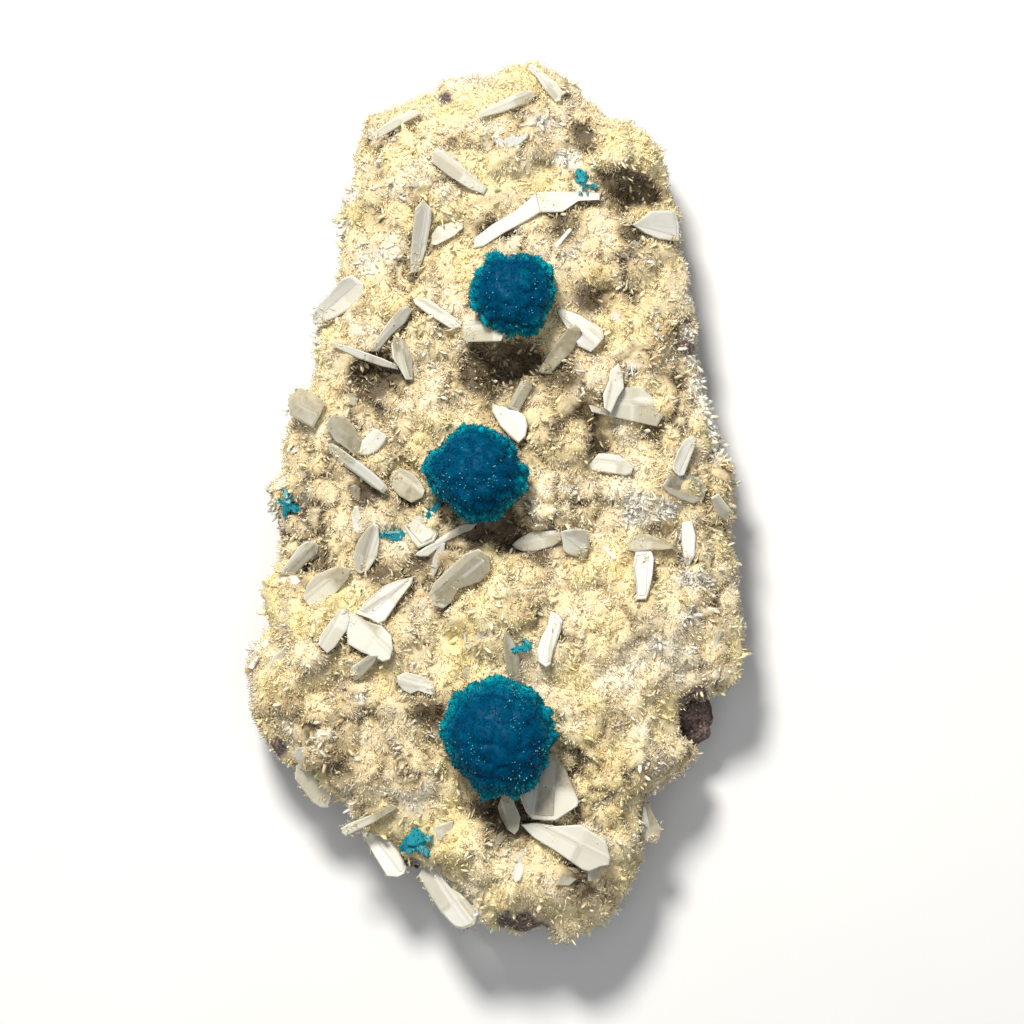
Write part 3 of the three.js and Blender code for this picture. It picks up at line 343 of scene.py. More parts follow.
# Leaves of the cavansite sprays seen from above: how pale, and the corners of the outline.
SPRAYS = {
    "cavansite_spray_top_fan": crystals([
        (0.45, 8.5, 33.5, 8.3, 33.4, 8.2, 33.1, 8.6, 32.6, 8.9, 32.2, 9.2, 32.35, 9.35, 32.65, 9.2, 33,
         8.85, 33.35),
        (0.55, 8.15, 32.5, 8.6, 32.65, 9, 32.45, 9.2, 32.35, 9.05, 32.1, 8.6, 32.05, 8.2, 32.15, 8.1, 32.3),
        (0.1, 8.8, 31.8, 9.1, 31.9, 9.3, 31.85, 9.4, 31.7, 9.1, 31.4, 8.9, 31.5),
        (0.2, 9.35, 31.8, 9.7, 31.85, 10, 31.9, 10.2, 31.75, 10.3, 31.5, 10.2, 31.3, 9.95, 31.55,
         9.6, 31.65),
        (0.9, 8.45, 31.1, 8.65, 31.2, 8.8, 31, 8.6, 30.8),
        (0.9, 9.15, 31.1, 9.4, 31.15, 9.45, 30.9, 9.25, 30.85)]),
    "cavansite_spray_left_star": crystals([
        (0.1, -21.75, 0.42, -21.2, 0.32, -20.9, 0.1, -21.1, -0.15, -21.35, -0.02),
        (0.95, -20.85, 0.5, -20.4, 0.85, -20.3, 0.5, -20.35, 0, -20.6, -0.1, -21, 0.1),
        (0.25, -20.7, 0.05, -20.2, -0.05, -19.8, -0.2, -19.35, -0.5, -19.5, -0.9, -19.8, -0.95, -20.1, -0.7,
         -20.6, -0.5),
        (0.05, -21.05, 0.15, -20.5, 0, -20.5, -0.7, -20.75, -1.1, -21, -1.45, -21.15, -1.2, -21.15, -0.6,
         -21.1, -0.2),
        (0.9, -20.95, 1.45, -20.8, 1.45, -20.6, 1, -20.6, 0.5, -20.9, 0.5, -21, 1)]),
    "cavansite_spray_bow_tie": crystals([
        (0.2, -11.35, -2.95, -11, -3, -9.6, -2.95, -9, -2.78, -8.8, -3, -9, -3.3, -9.1, -3.6, -9.4, -3.7,
         -10.2, -3.7, -10.8, -3.4, -11.35, -3.25),
        (0.9, -11.1, -2.85, -9.3, -2.7, -9.1, -2.95, -10.9, -3.05)]),
    "cavansite_spray_middle_blade": crystals([
        (0.2, -5.6, 0.2, -5.3, 0.15, -5.4, -0.4, -5.9, -1, -6.2, -1.5, -6.5, -1.6, -6.7, -1.4, -6.7, -1.05,
         -6.3, -0.6, -5.9, -0.2)]),
    "cavansite_spray_curl": crystals([
        (0.45, 1.75, -14.5, 2.4, -14.1, 3.1, -14.15, 3.7, -14.3, 3.6, -14.6, 3.3, -14.7, 2.8, -14.78,
         1.9, -14.82),
        (0.3, 3, -13.8, 2.85, -13.6, 3, -13.45, 3.25, -13.5, 3.6, -13.8, 3.8, -14.1, 3.75, -14.45,
         3.4, -14.5, 3.1, -14.1)]),
    "cavansite_spray_rosette": crystals([
        (0.15, -8.7, -33.4, -9.05, -33.6, -9.15, -34.1, -9.35, -34.5, -9.35, -34.8, -9.1, -34.85,
         -8.5, -34.5, -8, -34, -8.2, -33.5),
        (0.1, -8.9, -34, -8.8, -34.75, -8.6, -35.1, -8.35, -35.1, -8, -34.7, -7.8, -34.2),
        (0.05, -7.9, -34, -7.7, -34.7, -7.3, -34.9, -6.9, -35.25, -6.6, -35.4, -6.4, -35.1, -6.5, -34.6,
         -6.9, -34.1, -7.3, -33.8),
        (0.95, -6.95, -33.5, -6.7, -33.2, -6.1, -33.1, -6.2, -33.6, -6.6, -33.85),
        (0.5, -7.75, -32.4, -8.1, -32.65, -8.7, -33.4, -8.6, -34.2, -7.8, -34.3, -7, -33.9, -6.75, -33.4,
         -7.3, -32.8)]),
}


# ---------------------------------------------------------------- repeatable noise

def cell_random(cells, seed):
    """A number from 0 to 1 for each row of whole numbers."""
    mixed = (cells[:, 0] * 73856093) ^ (cells[:, 1] * 19349663) ^ (cells[:, 2] * 83492791) ^ (seed * 40503)
    for shift, factor in ((13, 1274126177), (15, 2246822519)):
        mixed = ((mixed ^ (mixed >> shift)) * factor) & 0xFFFFFFFF
    return ((mixed ^ (mixed >> 16)) & 0xFFFFFF) / float(0xFFFFFF)


def smooth_noise(points, size, seed):
    """Value noise from 0 to 1, with features of a size."""
    scaled = points / size
    low = np.floor(scaled).astype(np.int64)
    part = scaled - low
    part = part * part * (3.0 - 2.0 * part)
    total = np.zeros(len(points))
    for corner in np.ndindex(2, 2, 2):
        step = np.array(corner)
        weight = np.prod(np.where(step, part, 1.0 - part), axis=1)
        total += weight * cell_random(low + step, seed)
    return total


def rough_noise(points, size, seed, octaves=3):
    total, weight = np.zeros(len(points)), 0.0
    for octave in range(octaves):
        share = 0.5 ** octave
        total += share * smooth_noise(points, size * share, seed + octave)
        weight += share
    return total / weight


def nearest_seed(points, size, seed):
    """Distance to the nearest of a scatter of seed points, that point, and the distance to the next one."""
    low = np.floor(points / size).astype(np.int64)
    best = np.full(len(points), np.inf)
    second = np.full(len(points), np.inf)
    where = np.zeros((len(points), 3))
    for offset in np.ndindex(3, 3, 3):
        cell = low + np.array(offset) - 1
        jitter = np.stack([cell_random(cell, seed + k) for k in range(3)], axis=1)
        place = (cell + 0.15 + 0.7 * jitter) * size
        distance = np.linalg.norm(points - place, axis=1)
        closer = distance < best
        second = np.where(closer, best, np.minimum(second, distance))
        where[closer] = place[closer]
        best = np.where(closer, distance, best)
    return best, where, second


# ---------------------------------------------------------------- outlines as seen from above

def oriented(outline):
    """An outline as an array, turned counter-clockwise, with its area and girth."""
    corners = np.array(outline, float)
    following = np.roll(corners, -1, axis=0)
    area = 0.5 * np.sum(corners[:, 0] * following[:, 1] - following[:, 0] * corners[:, 1])
    girth = np.sum(np.linalg.norm(following - corners, axis=1))
    return (corners if area > 0 else corners[::-1]), abs(area), girth


def edges_of(corners):
    """The edges of an outline, each as its two ends."""
    return zip(corners, np.roll(corners, -1, axis=0))


def axes_in_plan(corners):
    """The middle of an outline, its long direction, and the direction across it."""
    centre = corners.mean(axis=0)
    axis = np.linalg.svd(corners - centre, full_matrices=False)[2][0]
    return centre, axis, np.array([-axis[1], axis[0]])


def uphill_axes(corners, slopes):
    """The middle of an outline, and its long direction towards its upper end."""
    centre, axis, _ = axes_in_plan(corners)
    return centre, (axis if axis @ slopes > 0 else -axis)


def samples_in(corners):
    """Places spread over an outline: halfway and at the quarters between all its corners."""
    first, second = np.triu_indices(len(corners), 1)
    a, b = corners[first], corners[second]
    middle = corners.mean(axis=0)
    places = np.concatenate([(a + b) / 2, 0.75 * a + 0.25 * b, 0.25 * a + 0.75 * b])
    return middle + 0.85 * (places - middle)


def plane_near(points):
    """Middle and slopes of the plane that lies nearest to some points, kept gentle."""
    middle = points.mean(axis=0)
    away = points - middle
    spread = away[:, :2].T @ away[:, :2] + 0.02 * len(points) * np.eye(2)
    return middle, np.clip(np.linalg.solve(spread, away[:, :2].T @ away[:, 2]), -0.8, 0.8)


def lower_edges(outlines):
    """A search tree of places by the lower edges of some outlines, where the druse lies in their shade."""
    places = []
    for outline in outlines:
        for here, there in edges_of(oriented(outline)[0]):
            if there[0] > here[0]:
                count = max(2, int(np.linalg.norm(there - here) / 0.25))
                for step in np.linspace(0, 1, count):
                    places.append((*(here + (there - here) * step + (0.1, -0.25)), 0.0))
    tree = KDTree(len(places))
    for index, place in enumerate(places):
        tree.insert(place, index)
    tree.balance()
    return tree


BLADE_SHADE = lower_edges([outline for _, outline in STILBITE])


# ---------------------------------------------------------------- mesh helpers, all in millimetres

def vectors_of(mesh, what):
    """The co or normal of each vertex, as the mesh has it."""
    flat = np.empty(len(mesh.vertices) * 3)
    mesh.vertices.foreach_get(what, flat)
    return flat.reshape(-1, 3)


def mesh_points(mesh):
    return vectors_of(mesh, "co") / MM


def set_points(mesh, points):
    mesh.vertices.foreach_set("co", (points * MM).astype(np.float32).ravel())
    mesh.update()


def link(name, data):
    """A new object in the scene, with a mesh, light or camera."""
    thing = bpy.data.objects.new(name, data)
    bpy.context.scene.collection.objects.link(thing)
    return thing


def mesh_from(name, points, faces, smooth=False):
    """A mesh from points in millimetres and a list or array of faces."""
    mesh = bpy.data.meshes.new(name)
    mesh.from_pydata((points * MM).tolist(), [], [list(face) for face in faces])
    mesh.polygons.foreach_set("use_smooth", np.full(len(mesh.polygons), smooth))
    mesh.update()
    return mesh


def applied(piece):
    """Applies the modifiers of a piece to its mesh."""
    bpy.context.view_layer.update()
    seen = piece.evaluated_get(bpy.context.evaluated_depsgraph_get())
    mesh = bpy.data.meshes.new_from_object(seen)
    piece.modifiers.clear()
    piece.data = mesh
    return mesh


def remeshed(node, name, voxel, smoothing):
    """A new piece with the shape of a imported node, in small even faces."""
    piece = link(name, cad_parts[node].data.copy())
    piece.data.materials.clear()
    remesh = piece.modifiers.new("remesh", "REMESH")
    remesh.mode = "VOXEL"
    remesh.voxel_size = voxel * MM
    smooth = piece.modifiers.new("smooth", "SMOOTH")
    smooth.factor = 0.5
    smooth.iterations = smoothing
    applied(piece)
    return piece


def unit(vectors):
    return vectors / np.maximum(np.linalg.norm(vectors, axis=1, keepdims=True), 1e-9)


def any_way(random, count):
    """Directions at random."""
    return unit(random.normal(size=(count, 3)))


def steepness(normals):
    """0 on level ground, 1 on a wall."""
    return np.clip(1.2 - 2.0 * np.abs(normals[:, 2]), 0, 1)


def straight_up(count):
    return np.tile([[0.0, 0.0, 1.0]], (count, 1))


def mesh_of_copies(name, corners, faces, values):
    """One mesh from many small copies. corners is copies by corners by 3, faces holds the faces of one copy,
    and values holds attributes by name, one number for each copy."""
    count, each = corners.shape[:2]
    flat = np.concatenate([np.array(face) for face in faces])
    loops = (flat[None] + (np.arange(count) * each)[:, None]).ravel()
    sizes = np.tile([len(face) for face in faces], count)
    mesh = bpy.data.meshes.new(name)
    mesh.vertices.add(count * each)
    mesh.vertices.foreach_set("co", (corners * MM).astype(np.float32).ravel())
    mesh.loops.add(len(loops))
    mesh.loops.foreach_set("vertex_index", loops.astype(np.int32))
    mesh.polygons.add(len(sizes))
    mesh.polygons.foreach_set("loop_start", np.concatenate([[0], np.cumsum(sizes)[:-1]]).astype(np.int32))
    mesh.update(calc_edges=True)
    mesh.validate()
    for key, numbers in values.items():
        put_numbers(mesh, key, np.repeat(numbers, each))
    return mesh


def axes_of(directions, random):
    """Unit directions, and two directions square to each of them, turned at random."""
    directions = unit(directions)
    sides = random.normal(size=directions.shape)
    sides = unit(sides - directions * np.sum(sides * directions, axis=1, keepdims=True))
    return directions, sides, np.cross(directions, sides)


def shards(name, roots, directions, lengths, widths, random, values):
    """Four-sided splinters that end in a chisel edge."""
    directions, sides, flats = axes_of(directions, random)
    tips = roots + directions * lengths[:, None]
    side, flat = sides * widths[:, None] / 2, flats * widths[:, None] / 2
    corners = np.stack([roots - side, roots + side, tips - flat * 0.7, tips + flat * 0.7], axis=1)
    return mesh_of_copies(name, corners, [(0, 1, 2), (1, 0, 3), (0, 2, 3), (1, 3, 2)], values)


def laths(name, roots, directions, lengths, widths, thicknesses, random, values):
    """Flat laths with a roof-shaped end."""
    directions, sides, flats = axes_of(directions, random)
    side, flat = sides * widths[:, None] / 2, flats * thicknesses[:, None] / 2
    tips = roots + directions * lengths[:, None]
    necks = roots + directions * lengths[:, None] * 0.72
    corners = np.stack([
        roots - side - flat, roots + side - flat, roots + side + flat, roots - side + flat,
        necks - side - flat, necks + side - flat, necks + side + flat, necks - side + flat,
        tips - flat * 0.6, tips + flat * 0.6], axis=1)
    faces = [(3, 2, 1, 0), (0, 1, 5, 4), (1, 2, 6, 5), (2, 3, 7, 6), (3, 0, 4, 7),
             (4, 5, 8), (6, 7, 9), (5, 6, 9, 8), (7, 4, 8, 9)]
    return mesh_of_copies(name, corners, faces, values)


def scatter_on(mesh, count, random, weight=None):
    """Points spread evenly over a mesh, with the normal and the face of each."""
    mesh.calc_loop_triangles()
    corners = np.empty(len(mesh.loop_triangles) * 3, np.int32)
    mesh.loop_triangles.foreach_get("vertices", corners)
    corners = corners.reshape(-1, 3)
    points = mesh_points(mesh)
    normals = vectors_of(mesh, "normal")
    a, b, c = (points[corners[:, k]] for k in range(3))
    area = np.linalg.norm(np.cross(b - a, c - a), axis=1)
    if weight is not None:
        area = area * weight((a + b + c) / 3, unit(np.cross(b - a, c - a)))
    chosen = random.choice(len(area), count, p=area / area.sum())
    u, v = random.random((2, count))
    flip = u + v > 1
    u[flip], v[flip] = 1 - u[flip], 1 - v[flip]
    w = (1 - u - v)[:, None]
    u, v = u[:, None], v[:, None]
    place = a[chosen] * w + b[chosen] * u + c[chosen] * v
    normal = unit(
        normals[corners[chosen, 0]] * w + normals[corners[chosen, 1]] * u + normals[corners[chosen, 2]] * v)
    return place, normal


def put_numbers(mesh, name, numbers):
    mesh.attributes.new(name, "FLOAT", "POINT").data.foreach_set("value", numbers.astype(np.float32))


def smooth_faces(mesh):
    mesh.polygons.foreach_set("use_smooth", np.ones(len(mesh.polygons), bool))


def tree_of(pieces):
    """A search tree over several pieces, in metres, and which of them each face belongs to."""
    vertices, faces, owners = [], [], []
    for order, piece in enumerate(pieces):
        start = len(vertices)
        vertices += [tuple(vertex.co) for vertex in piece.data.vertices]
        faces += [[start + i for i in polygon.vertices] for polygon in piece.data.polygons]
        owners += [order] * len(piece.data.polygons)
    return BVHTree.FromPolygons(vertices, faces), owners


def looked_down_on(tree, x, y):
    """What a ray straight down meets: the place, the normal there and the face, or None three times."""
    return tree.ray_cast(Vector((x, y, ABOVE_ALL)) * MM, Vector((0, 0, -1)))[:3]


def ground_under(tree, x, y):
    """The height of the ground under a place, in millimetres."""
    place, _, _ = looked_down_on(tree, x, y)
    return place.z / MM if place is not None else BARE_GROUND


def on_ground(tree, places):
    """Places with the height of the ground under each."""
    return np.array([(x, y, ground_under(tree, x, y)) for x, y in places])


def buried(tree, points, margin):
    """True for each point inside the pieces of a tree, or within a margin of them."""
    near = np.zeros(len(points), bool)
    for index, point in enumerate(points):
        spot = Vector(point * MM)
        place, normal, _, distance = tree.find_nearest(spot, 3.0 * MM)
        if place is not None:
            near[index] = distance < margin * MM or (spot - place).dot(normal) < 0
    return near


# ---------------------------------------------------------------- materials

FROST_COLOUR = (0.93, 0.90, 0.81)


class Nodes:
    """Short names for the shader nodes of one material. A value is a number, a colour or a node's output."""

    def __init__(self, name):
        self.material = bpy.data.materials.new(name)
        self.material.use_nodes = True
        self.tree = self.material.node_tree
        self.shader = self.tree.nodes["Principled BSDF"]
        self.coordinates = self.node("TexCoord", "Object", {})

    def feed(self, socket, value):
        if isinstance(value, bpy.types.NodeSocket):
            self.tree.links.new(value, socket)
        else:
            socket.default_value = (*value, 1.0) if socket.type == "RGBA" else value

    def node(self, kind, output, inputs, **settings):
        """Adds a node and returns one of its outputs."""
        node = self.tree.nodes.new("ShaderNode" + kind)
        for name, value in settings.items():
            setattr(node, name, value)
        for name, value in inputs.items():
            self.feed(node.inputs[name], value)
        return node.outputs[output]

    def put(self, **values):
        """Feeds inputs of the surface."""
        for name, value in values.items():
            self.feed(self.shader.inputs[name.replace("_", " ")], value)

    def noise(self, size, detail=3.0, roughness=0.55, vector=None):
        return self.node("TexNoise", "Fac", {"Scale": 1.0 / (size * MM), "Detail": detail,
                                             "Roughness": roughness, "Vector": vector or self.coordinates})

    def cells(self, size):
        return self.node("TexVoronoi", "Distance", {"Scale": 1.0 / (size * MM), "Vector": self.coordinates})

    def attribute(self, name):
        return self.node("Attribute", "Fac", {}, attribute_name=name)

    def ramp(self, factor, stops):
        colour = self.node("ValToRGB", "Color", {"Fac": factor})
        elements = colour.node.color_ramp.elements
        while len(elements) < len(stops):
            elements.new(0.5)
        for element, (position, stop) in zip(elements, stops):
            element.position = position
            element.color = (*stop, 1.0)
        return colour

    def mix(self, factor, first, second, blend="MIX"):
        return self.node("Mix", 2, {0: factor, 6: first, 7: second}, data_type="RGBA", blend_type=blend)

    def number(self, factor, low, high, from_low=0.0, from_high=1.0):
        """Maps a range of numbers to another one."""
        return self.node("MapRange", "Result", {"Value": factor, "From Min": from_low, "From Max": from_high,
                                                "To Min": low, "To Max": high})

    def plus(self, first, second):
        return self.node("Math", "Value", {0: first, 1: second}, operation="ADD", use_clamp=True)

    def bump(self, height, strength, distance):
        self.put(Normal=self.node("Bump", "Normal", {"Height": height, "Strength": strength,
                                                     "Distance": distance * MM}))


def basalt_colour(m):
    patches = m.ramp(m.noise(2.6, 4.0), [(0.33, (0.05, 0.038, 0.035)), (0.48, (0.115, 0.082, 0.074)),
                                         (0.6, (0.22, 0.15, 0.13)), (0.73, (0.38, 0.29, 0.26))])
    grains = m.ramp(m.noise(0.3, 2.0, 0.7), [(0.36, (0.3, 0.3, 0.3)), (0.5, (0.75, 0.72, 0.7)),
                                             (0.66, (1.7, 1.6, 1.5))])
    colour = m.mix(1.0, patches, grains, "MULTIPLY")
    specks = m.ramp(m.cells(0.7), [(0.1, (1, 1, 1)), (0.2, (0, 0, 0))])
    return m.mix(specks, colour, (0.45, 0.42, 0.38))


def basalt_material():
    m = Nodes("basalt")
    m.put(Base_Color=basalt_colour(m), Roughness=m.number(m.noise(0.8), 0.55, 0.95))
    m.bump(m.noise(0.5, 5.0, 0.7), 0.7, 0.35)
    return m.material


def druse_colours(m):
    """Golden cream on the tops of the tufts, olive brown down between them, and near black where the painted
    shade is deepest, with paler fields.
    """
    tops = m.ramp(m.noise(6.0, 3.0), [(0.34, (1.0, 0.86, 0.47)), (0.46, (0.98, 0.875, 0.57)),
                                      (0.55, (0.95, 0.84, 0.61)), (0.66, (0.98, 0.93, 0.78))])
    middle = m.ramp(m.noise(2.0, 2.0), [(0.35, (0.79, 0.64, 0.36)), (0.65, (0.81, 0.69, 0.47))])
    painted_hollow_shade = m.ramp(m.noise(1.6), [(0.35, (0.09, 0.065, 0.035)), (0.65, (0.20, 0.15, 0.085))])
    shade = m.attribute("shade")
    colour = m.mix(m.number(shade, 0.0, 1.0, 0.25, 0.62), tops, middle)
    return m.mix(m.number(shade, 0.0, 1.0, 0.6, 1.0), colour, painted_hollow_shade)


def bed_material():
    m = Nodes("druse_bed")
    grain = m.ramp(m.noise(0.22, 2.0, 0.8), [(0.36, (0.72, 0.67, 0.58)), (0.54, (0.95, 0.93, 0.9))])
    colour = m.mix(1.0, druse_colours(m), grain, "MULTIPLY")
    colour = m.mix(m.attribute("frost"), colour, FROST_COLOUR)
    m.put(Base_Color=m.mix(m.attribute("bare"), colour, basalt_colour(m)),
          Roughness=m.number(m.noise(0.4), 0.4, 0.75),
          Subsurface_Weight=0.5, Subsurface_Scale=0.5 * MM, Subsurface_Radius=(1.0, 0.9, 0.7))
    m.bump(m.noise(0.2, 4.0, 0.75), 0.5, 0.18)
    return m.material


def druse_crystal_material(name, clear, rough):
    m = Nodes(name)
    # crystals differ in tone at random; the palest end, brighter than white and bluish, is painted sparkle
    tint = m.ramp(m.attribute("tint"), [(0.0, (0.80, 0.75, 0.64)), (0.3, (0.96, 0.93, 0.86)),
                                        (0.65, (1.03, 1.03, 1.01)), (0.9, (1.08, 1.12, 1.18)),
                                        (1.0, (1.12, 1.24, 1.5))])
    colour = m.mix(1.0, druse_colours(m), tint, "MULTIPLY")
    m.put(Base_Color=m.mix(m.attribute("frost"), colour, FROST_COLOUR),
          Roughness=m.number(m.attribute("tint"), rough * 1.5, rough * 0.6),
          IOR=1.5, Transmission_Weight=clear)
    return m.material


def blade_material():
    """Stilbite: clear to white, faintly striated along its length, with clouds inside and paler edges, a
    painted bright outline of light.
    """
    m = Nodes("stilbite_blade")
    milk = m.attribute("milk")

    def stretched(share):
        """Places on a blade with its length drawn in, so that patterns run along it."""
        return m.node("CombineXYZ", "Vector", {"X": m.number(m.attribute("across"), 0.0, MM),
                                               "Y": m.number(m.attribute("along"), 0.0, MM * share),
                                               "Z": m.number(milk, 0.0, 50 * MM)})

    streaks = m.noise(0.2, 2.0, 0.6, stretched(0.07))
    clouds = m.noise(1.1, 4.0, 0.62, stretched(0.4))
    haze_and_edge_light = m.plus(m.number(milk, 0.02, 0.84), m.number(clouds, -0.42, 0.42, 0.34, 0.66))
    haze_and_edge_light = m.plus(haze_and_edge_light, m.number(streaks, -0.14, 0.14, 0.32, 0.68))
    # painted highlight: the edges of a blade are paler, a bright outline of light
    haze_and_edge_light = m.plus(haze_and_edge_light, m.number(m.attribute("rim"), 0.0, 0.3))
    body = m.ramp(haze_and_edge_light, [(0.0, (0.56, 0.52, 0.37)), (0.3, (0.66, 0.62, 0.475)), (0.6, (0.76, 0.73, 0.61)),
                         (1.0, (0.87, 0.86, 0.78))])
    # painted see-through: where a blade is clear, it is coloured dark and golden like the druse seen through
    # it
    seen = m.ramp(m.noise(0.5, 3.0), [(0.36, (0.48, 0.41, 0.26)), (0.6, (0.82, 0.73, 0.52))])
    body = m.mix(m.number(haze_and_edge_light, 0.5, 0.0, 0.05, 0.55), body, seen)
    specks = m.ramp(m.cells(1.7), [(0.03, (1, 1, 1)), (0.06, (0, 0, 0))])
    m.put(Base_Color=m.mix(specks, body, (0.05, 0.045, 0.04)), Roughness=m.number(haze_and_edge_light, 0.36, 0.5), IOR=1.5,
          Transmission_Weight=m.number(haze_and_edge_light, 0.5, 0.05, 0.0, 0.75), Coat_Weight=0.1, Coat_Roughness=0.25,
          Subsurface_Weight=0.3, Subsurface_Scale=MM, Subsurface_Radius=(1.0, 0.95, 0.85))
    m.bump(m.plus(streaks, m.number(clouds, 0.0, 0.3)), 0.22, 0.06)
    return m.material


def cavansite_material():
    """Blue crystals: deepest in the middle of a ball, teal and then cyan at the tips of its knobs, and darker
    on its underside and in its creases, painted shade.
    """
    m = Nodes("cavansite_blue")
    colour = m.ramp(m.attribute("tip"), [(0.0, (0.0, 0.06, 0.135)), (0.3, (0.0, 0.13, 0.215)),
                                         (0.65, (0.0, 0.32, 0.38)), (1.0, (0.0, 0.66, 0.70))])
    flecks = m.ramp(m.noise(0.9, 3.0), [(0.3, (0.7, 0.74, 0.8)), (0.7, (1.2, 1.16, 1.1))])
    m.put(Base_Color=m.mix(1.0, colour, flecks, "MULTIPLY"), Roughness=m.number(m.noise(0.3), 0.25, 0.5),
          IOR=1.25, Specular_IOR_Level=0.12)
    return m.material


def painted_glint_material():
    """Painted glints on the balls: dark teal to pale cyan colour standing for sparkle, on glossy faces."""
    m = Nodes("cavansite_glint")
    colour = m.ramp(m.noise(0.3), [(0.35, (0.02, 0.36, 0.44)), (0.55, (0.14, 0.62, 0.68)),
                                   (0.7, (0.6, 0.92, 0.94))])
    m.put(Base_Color=colour, Roughness=m.number(m.noise(0.3), 0.1, 0.3), IOR=1.54, Transmission_Weight=0.2)
    return m.material


def spray_material():
    """The leaves of the sprays: teal, see-through where they are pale, and paler at their edges, a painted
    bright outline of light.
    """
    m = Nodes("cavansite_teal")
    milk = m.attribute("milk")
    colour = m.ramp(m.plus(milk, m.number(m.attribute("rim"), 0.0, 0.18)),
                    [(0.0, (0.0, 0.17, 0.24)), (0.3, (0.0, 0.27, 0.33)), (0.6, (0.0, 0.42, 0.52)),
                     (1.0, (0.32, 0.74, 0.74))])
    flecks = m.ramp(m.noise(0.3, 3.0), [(0.3, (0.78, 0.82, 0.86)), (0.7, (1.2, 1.15, 1.1))])
    m.put(Base_Color=m.mix(1.0, colour, flecks, "MULTIPLY"), Roughness=m.number(m.noise(0.3), 0.2, 0.4),
          Transmission_Weight=m.number(milk, 0.05, 0.5), IOR=1.45, Specular_IOR_Level=0.3)
    return m.material


def floor_material():
    m = Nodes("floor")
    m.put(Base_Color=m.ramp(m.noise(60.0), [(0.3, (0.80, 0.80, 0.79)), (0.7, (0.84, 0.84, 0.83))]),
          Roughness=0.8)
    return m.material


# ---------------------------------------------------------------- pieces

def keep(piece, material, slot, *nodes):
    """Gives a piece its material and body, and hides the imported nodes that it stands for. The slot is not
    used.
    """
    piece.data.materials.clear()
    piece.data.materials.append(material)
    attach(piece, BODY)
    if nodes:
        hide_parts(*nodes)
    return piece


def cap(distance, reach):
    """A round cap: 1 at its middle, 0 from its reach on."""
    return np.sqrt(np.clip(1 - (distance / reach) ** 2, 0, 1))


def add_basalt(material):
    """The slab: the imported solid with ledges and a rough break, and its flat foot left as it is."""
    piece = remeshed("basalt_matrix", "basalt_slab", BASALT_VOXEL, 2)
    mesh = piece.data
    points, normals = mesh_points(mesh), vectors_of(mesh, "normal")
    edge, _, next_edge = nearest_seed(points, LEDGE_CELL, 11)
    ledges = np.clip((next_edge - edge) / LEDGE_SLOPE, 0, 1) * LEDGE_RISE
    rise = ledges + BREAK_ROUGHNESS * (rough_noise(points, 1.2, 12) - 0.5) - BASALT_SINK
    moved = points + normals * rise[:, None]
    foot = points[:, 2] < FOOT_HEIGHT
    moved[foot, :2] = points[foot, :2]
    moved[foot, 2] = np.minimum(points[foot, 2], 0.1)
    moved[:, 2] = np.maximum(0.0, moved[:, 2])
    set_points(mesh, moved)
    return keep(piece, material, "basalt", "basalt_matrix")


def shade_of(points):
    """Height of the tufts, the painted shade, 0 to 1, deepest in crevices and hollows, and the way out of its
    tuft.
    """
    warp = np.stack([rough_noise(points, 2.6, 60 + 5 * k, 2) - 0.5 for k in range(3)], axis=1)
    warped = points + TUFT_WARP * warp
    first, seed, second = nearest_seed(warped, TUFT_CELL, 21)
    small, small_seed, small_second = nearest_seed(warped, KNOB_CELL, 31)
    tuft = cap(first, TUFT_CELL * CAP_SHARE)
    knob = cap(small, KNOB_CELL * CAP_SHARE)
    patch = np.clip(2.6 * (rough_noise(points, 4.5, 101) - 0.36), 0.1, 1)
    crevice = np.exp(-((second - first) / CREVICE_WIDTH) ** 2) * patch
    crack = np.exp(-((small_second - small) / CRACK_WIDTH) ** 2) * patch
    # painted shade: darker in the crevices between tufts and the cracks between knobs, plus random tone
    shade = 0.2 + 0.62 * crevice + 0.3 * crack + 0.7 * (rough_noise(points, 3.0, 71) - 0.5)
    for x, y, reach, depth in PAINTED_SHADE_SPOTS:
        away = np.hypot(warped[:, 0] - x, warped[:, 1] - y) / reach
        shade = shade + 1.1 * depth * np.exp(-1.8 * away ** 2)
    # painted shade along the lower side of each blade, where its shadow falls
    near = np.array([BLADE_SHADE.find((x, y, 0.0))[2] for x, y in points[:, :2]])
    shade = shade + 0.5 * np.exp(-(near / BLADE_SHADE_WIDTH) ** 2) * smooth_noise(points, 1.2, 111)
    height = TUFT_RISE * tuft + KNOB_RISE * knob - CREVICE_DEPTH * crevice
    outward = unit(unit(warped - seed) + 0.7 * unit(warped - small_seed))
    return height, np.clip(shade, 0, 1), outward


def bareness(points):
    """How bare the basalt is, 0 to 1."""
    bare = np.zeros(len(points))
    wobble = 0.75 + 0.6 * rough_noise(points, 0.9, 81)
    for x, y, reach in BARE:
        away = np.hypot(points[:, 0] - x, points[:, 1] - y) / (reach * wobble)
        bare = np.maximum(bare, np.clip(2.2 * (1.15 - away), 0, 1))
    return bare


def frost_of(points):
    """How white and frosted the druse is, 0 to 1."""
    frost = np.zeros(len(points))
    wobble = 0.6 + 0.8 * rough_noise(points, 0.8, 91)
    for x, y, wide, high in FROST:
        away = np.hypot((points[:, 0] - x) / wide, (points[:, 1] - y) / high) / wobble
        frost = np.maximum(frost, np.clip(1.6 * (1.2 - away), 0, 1))
    return frost


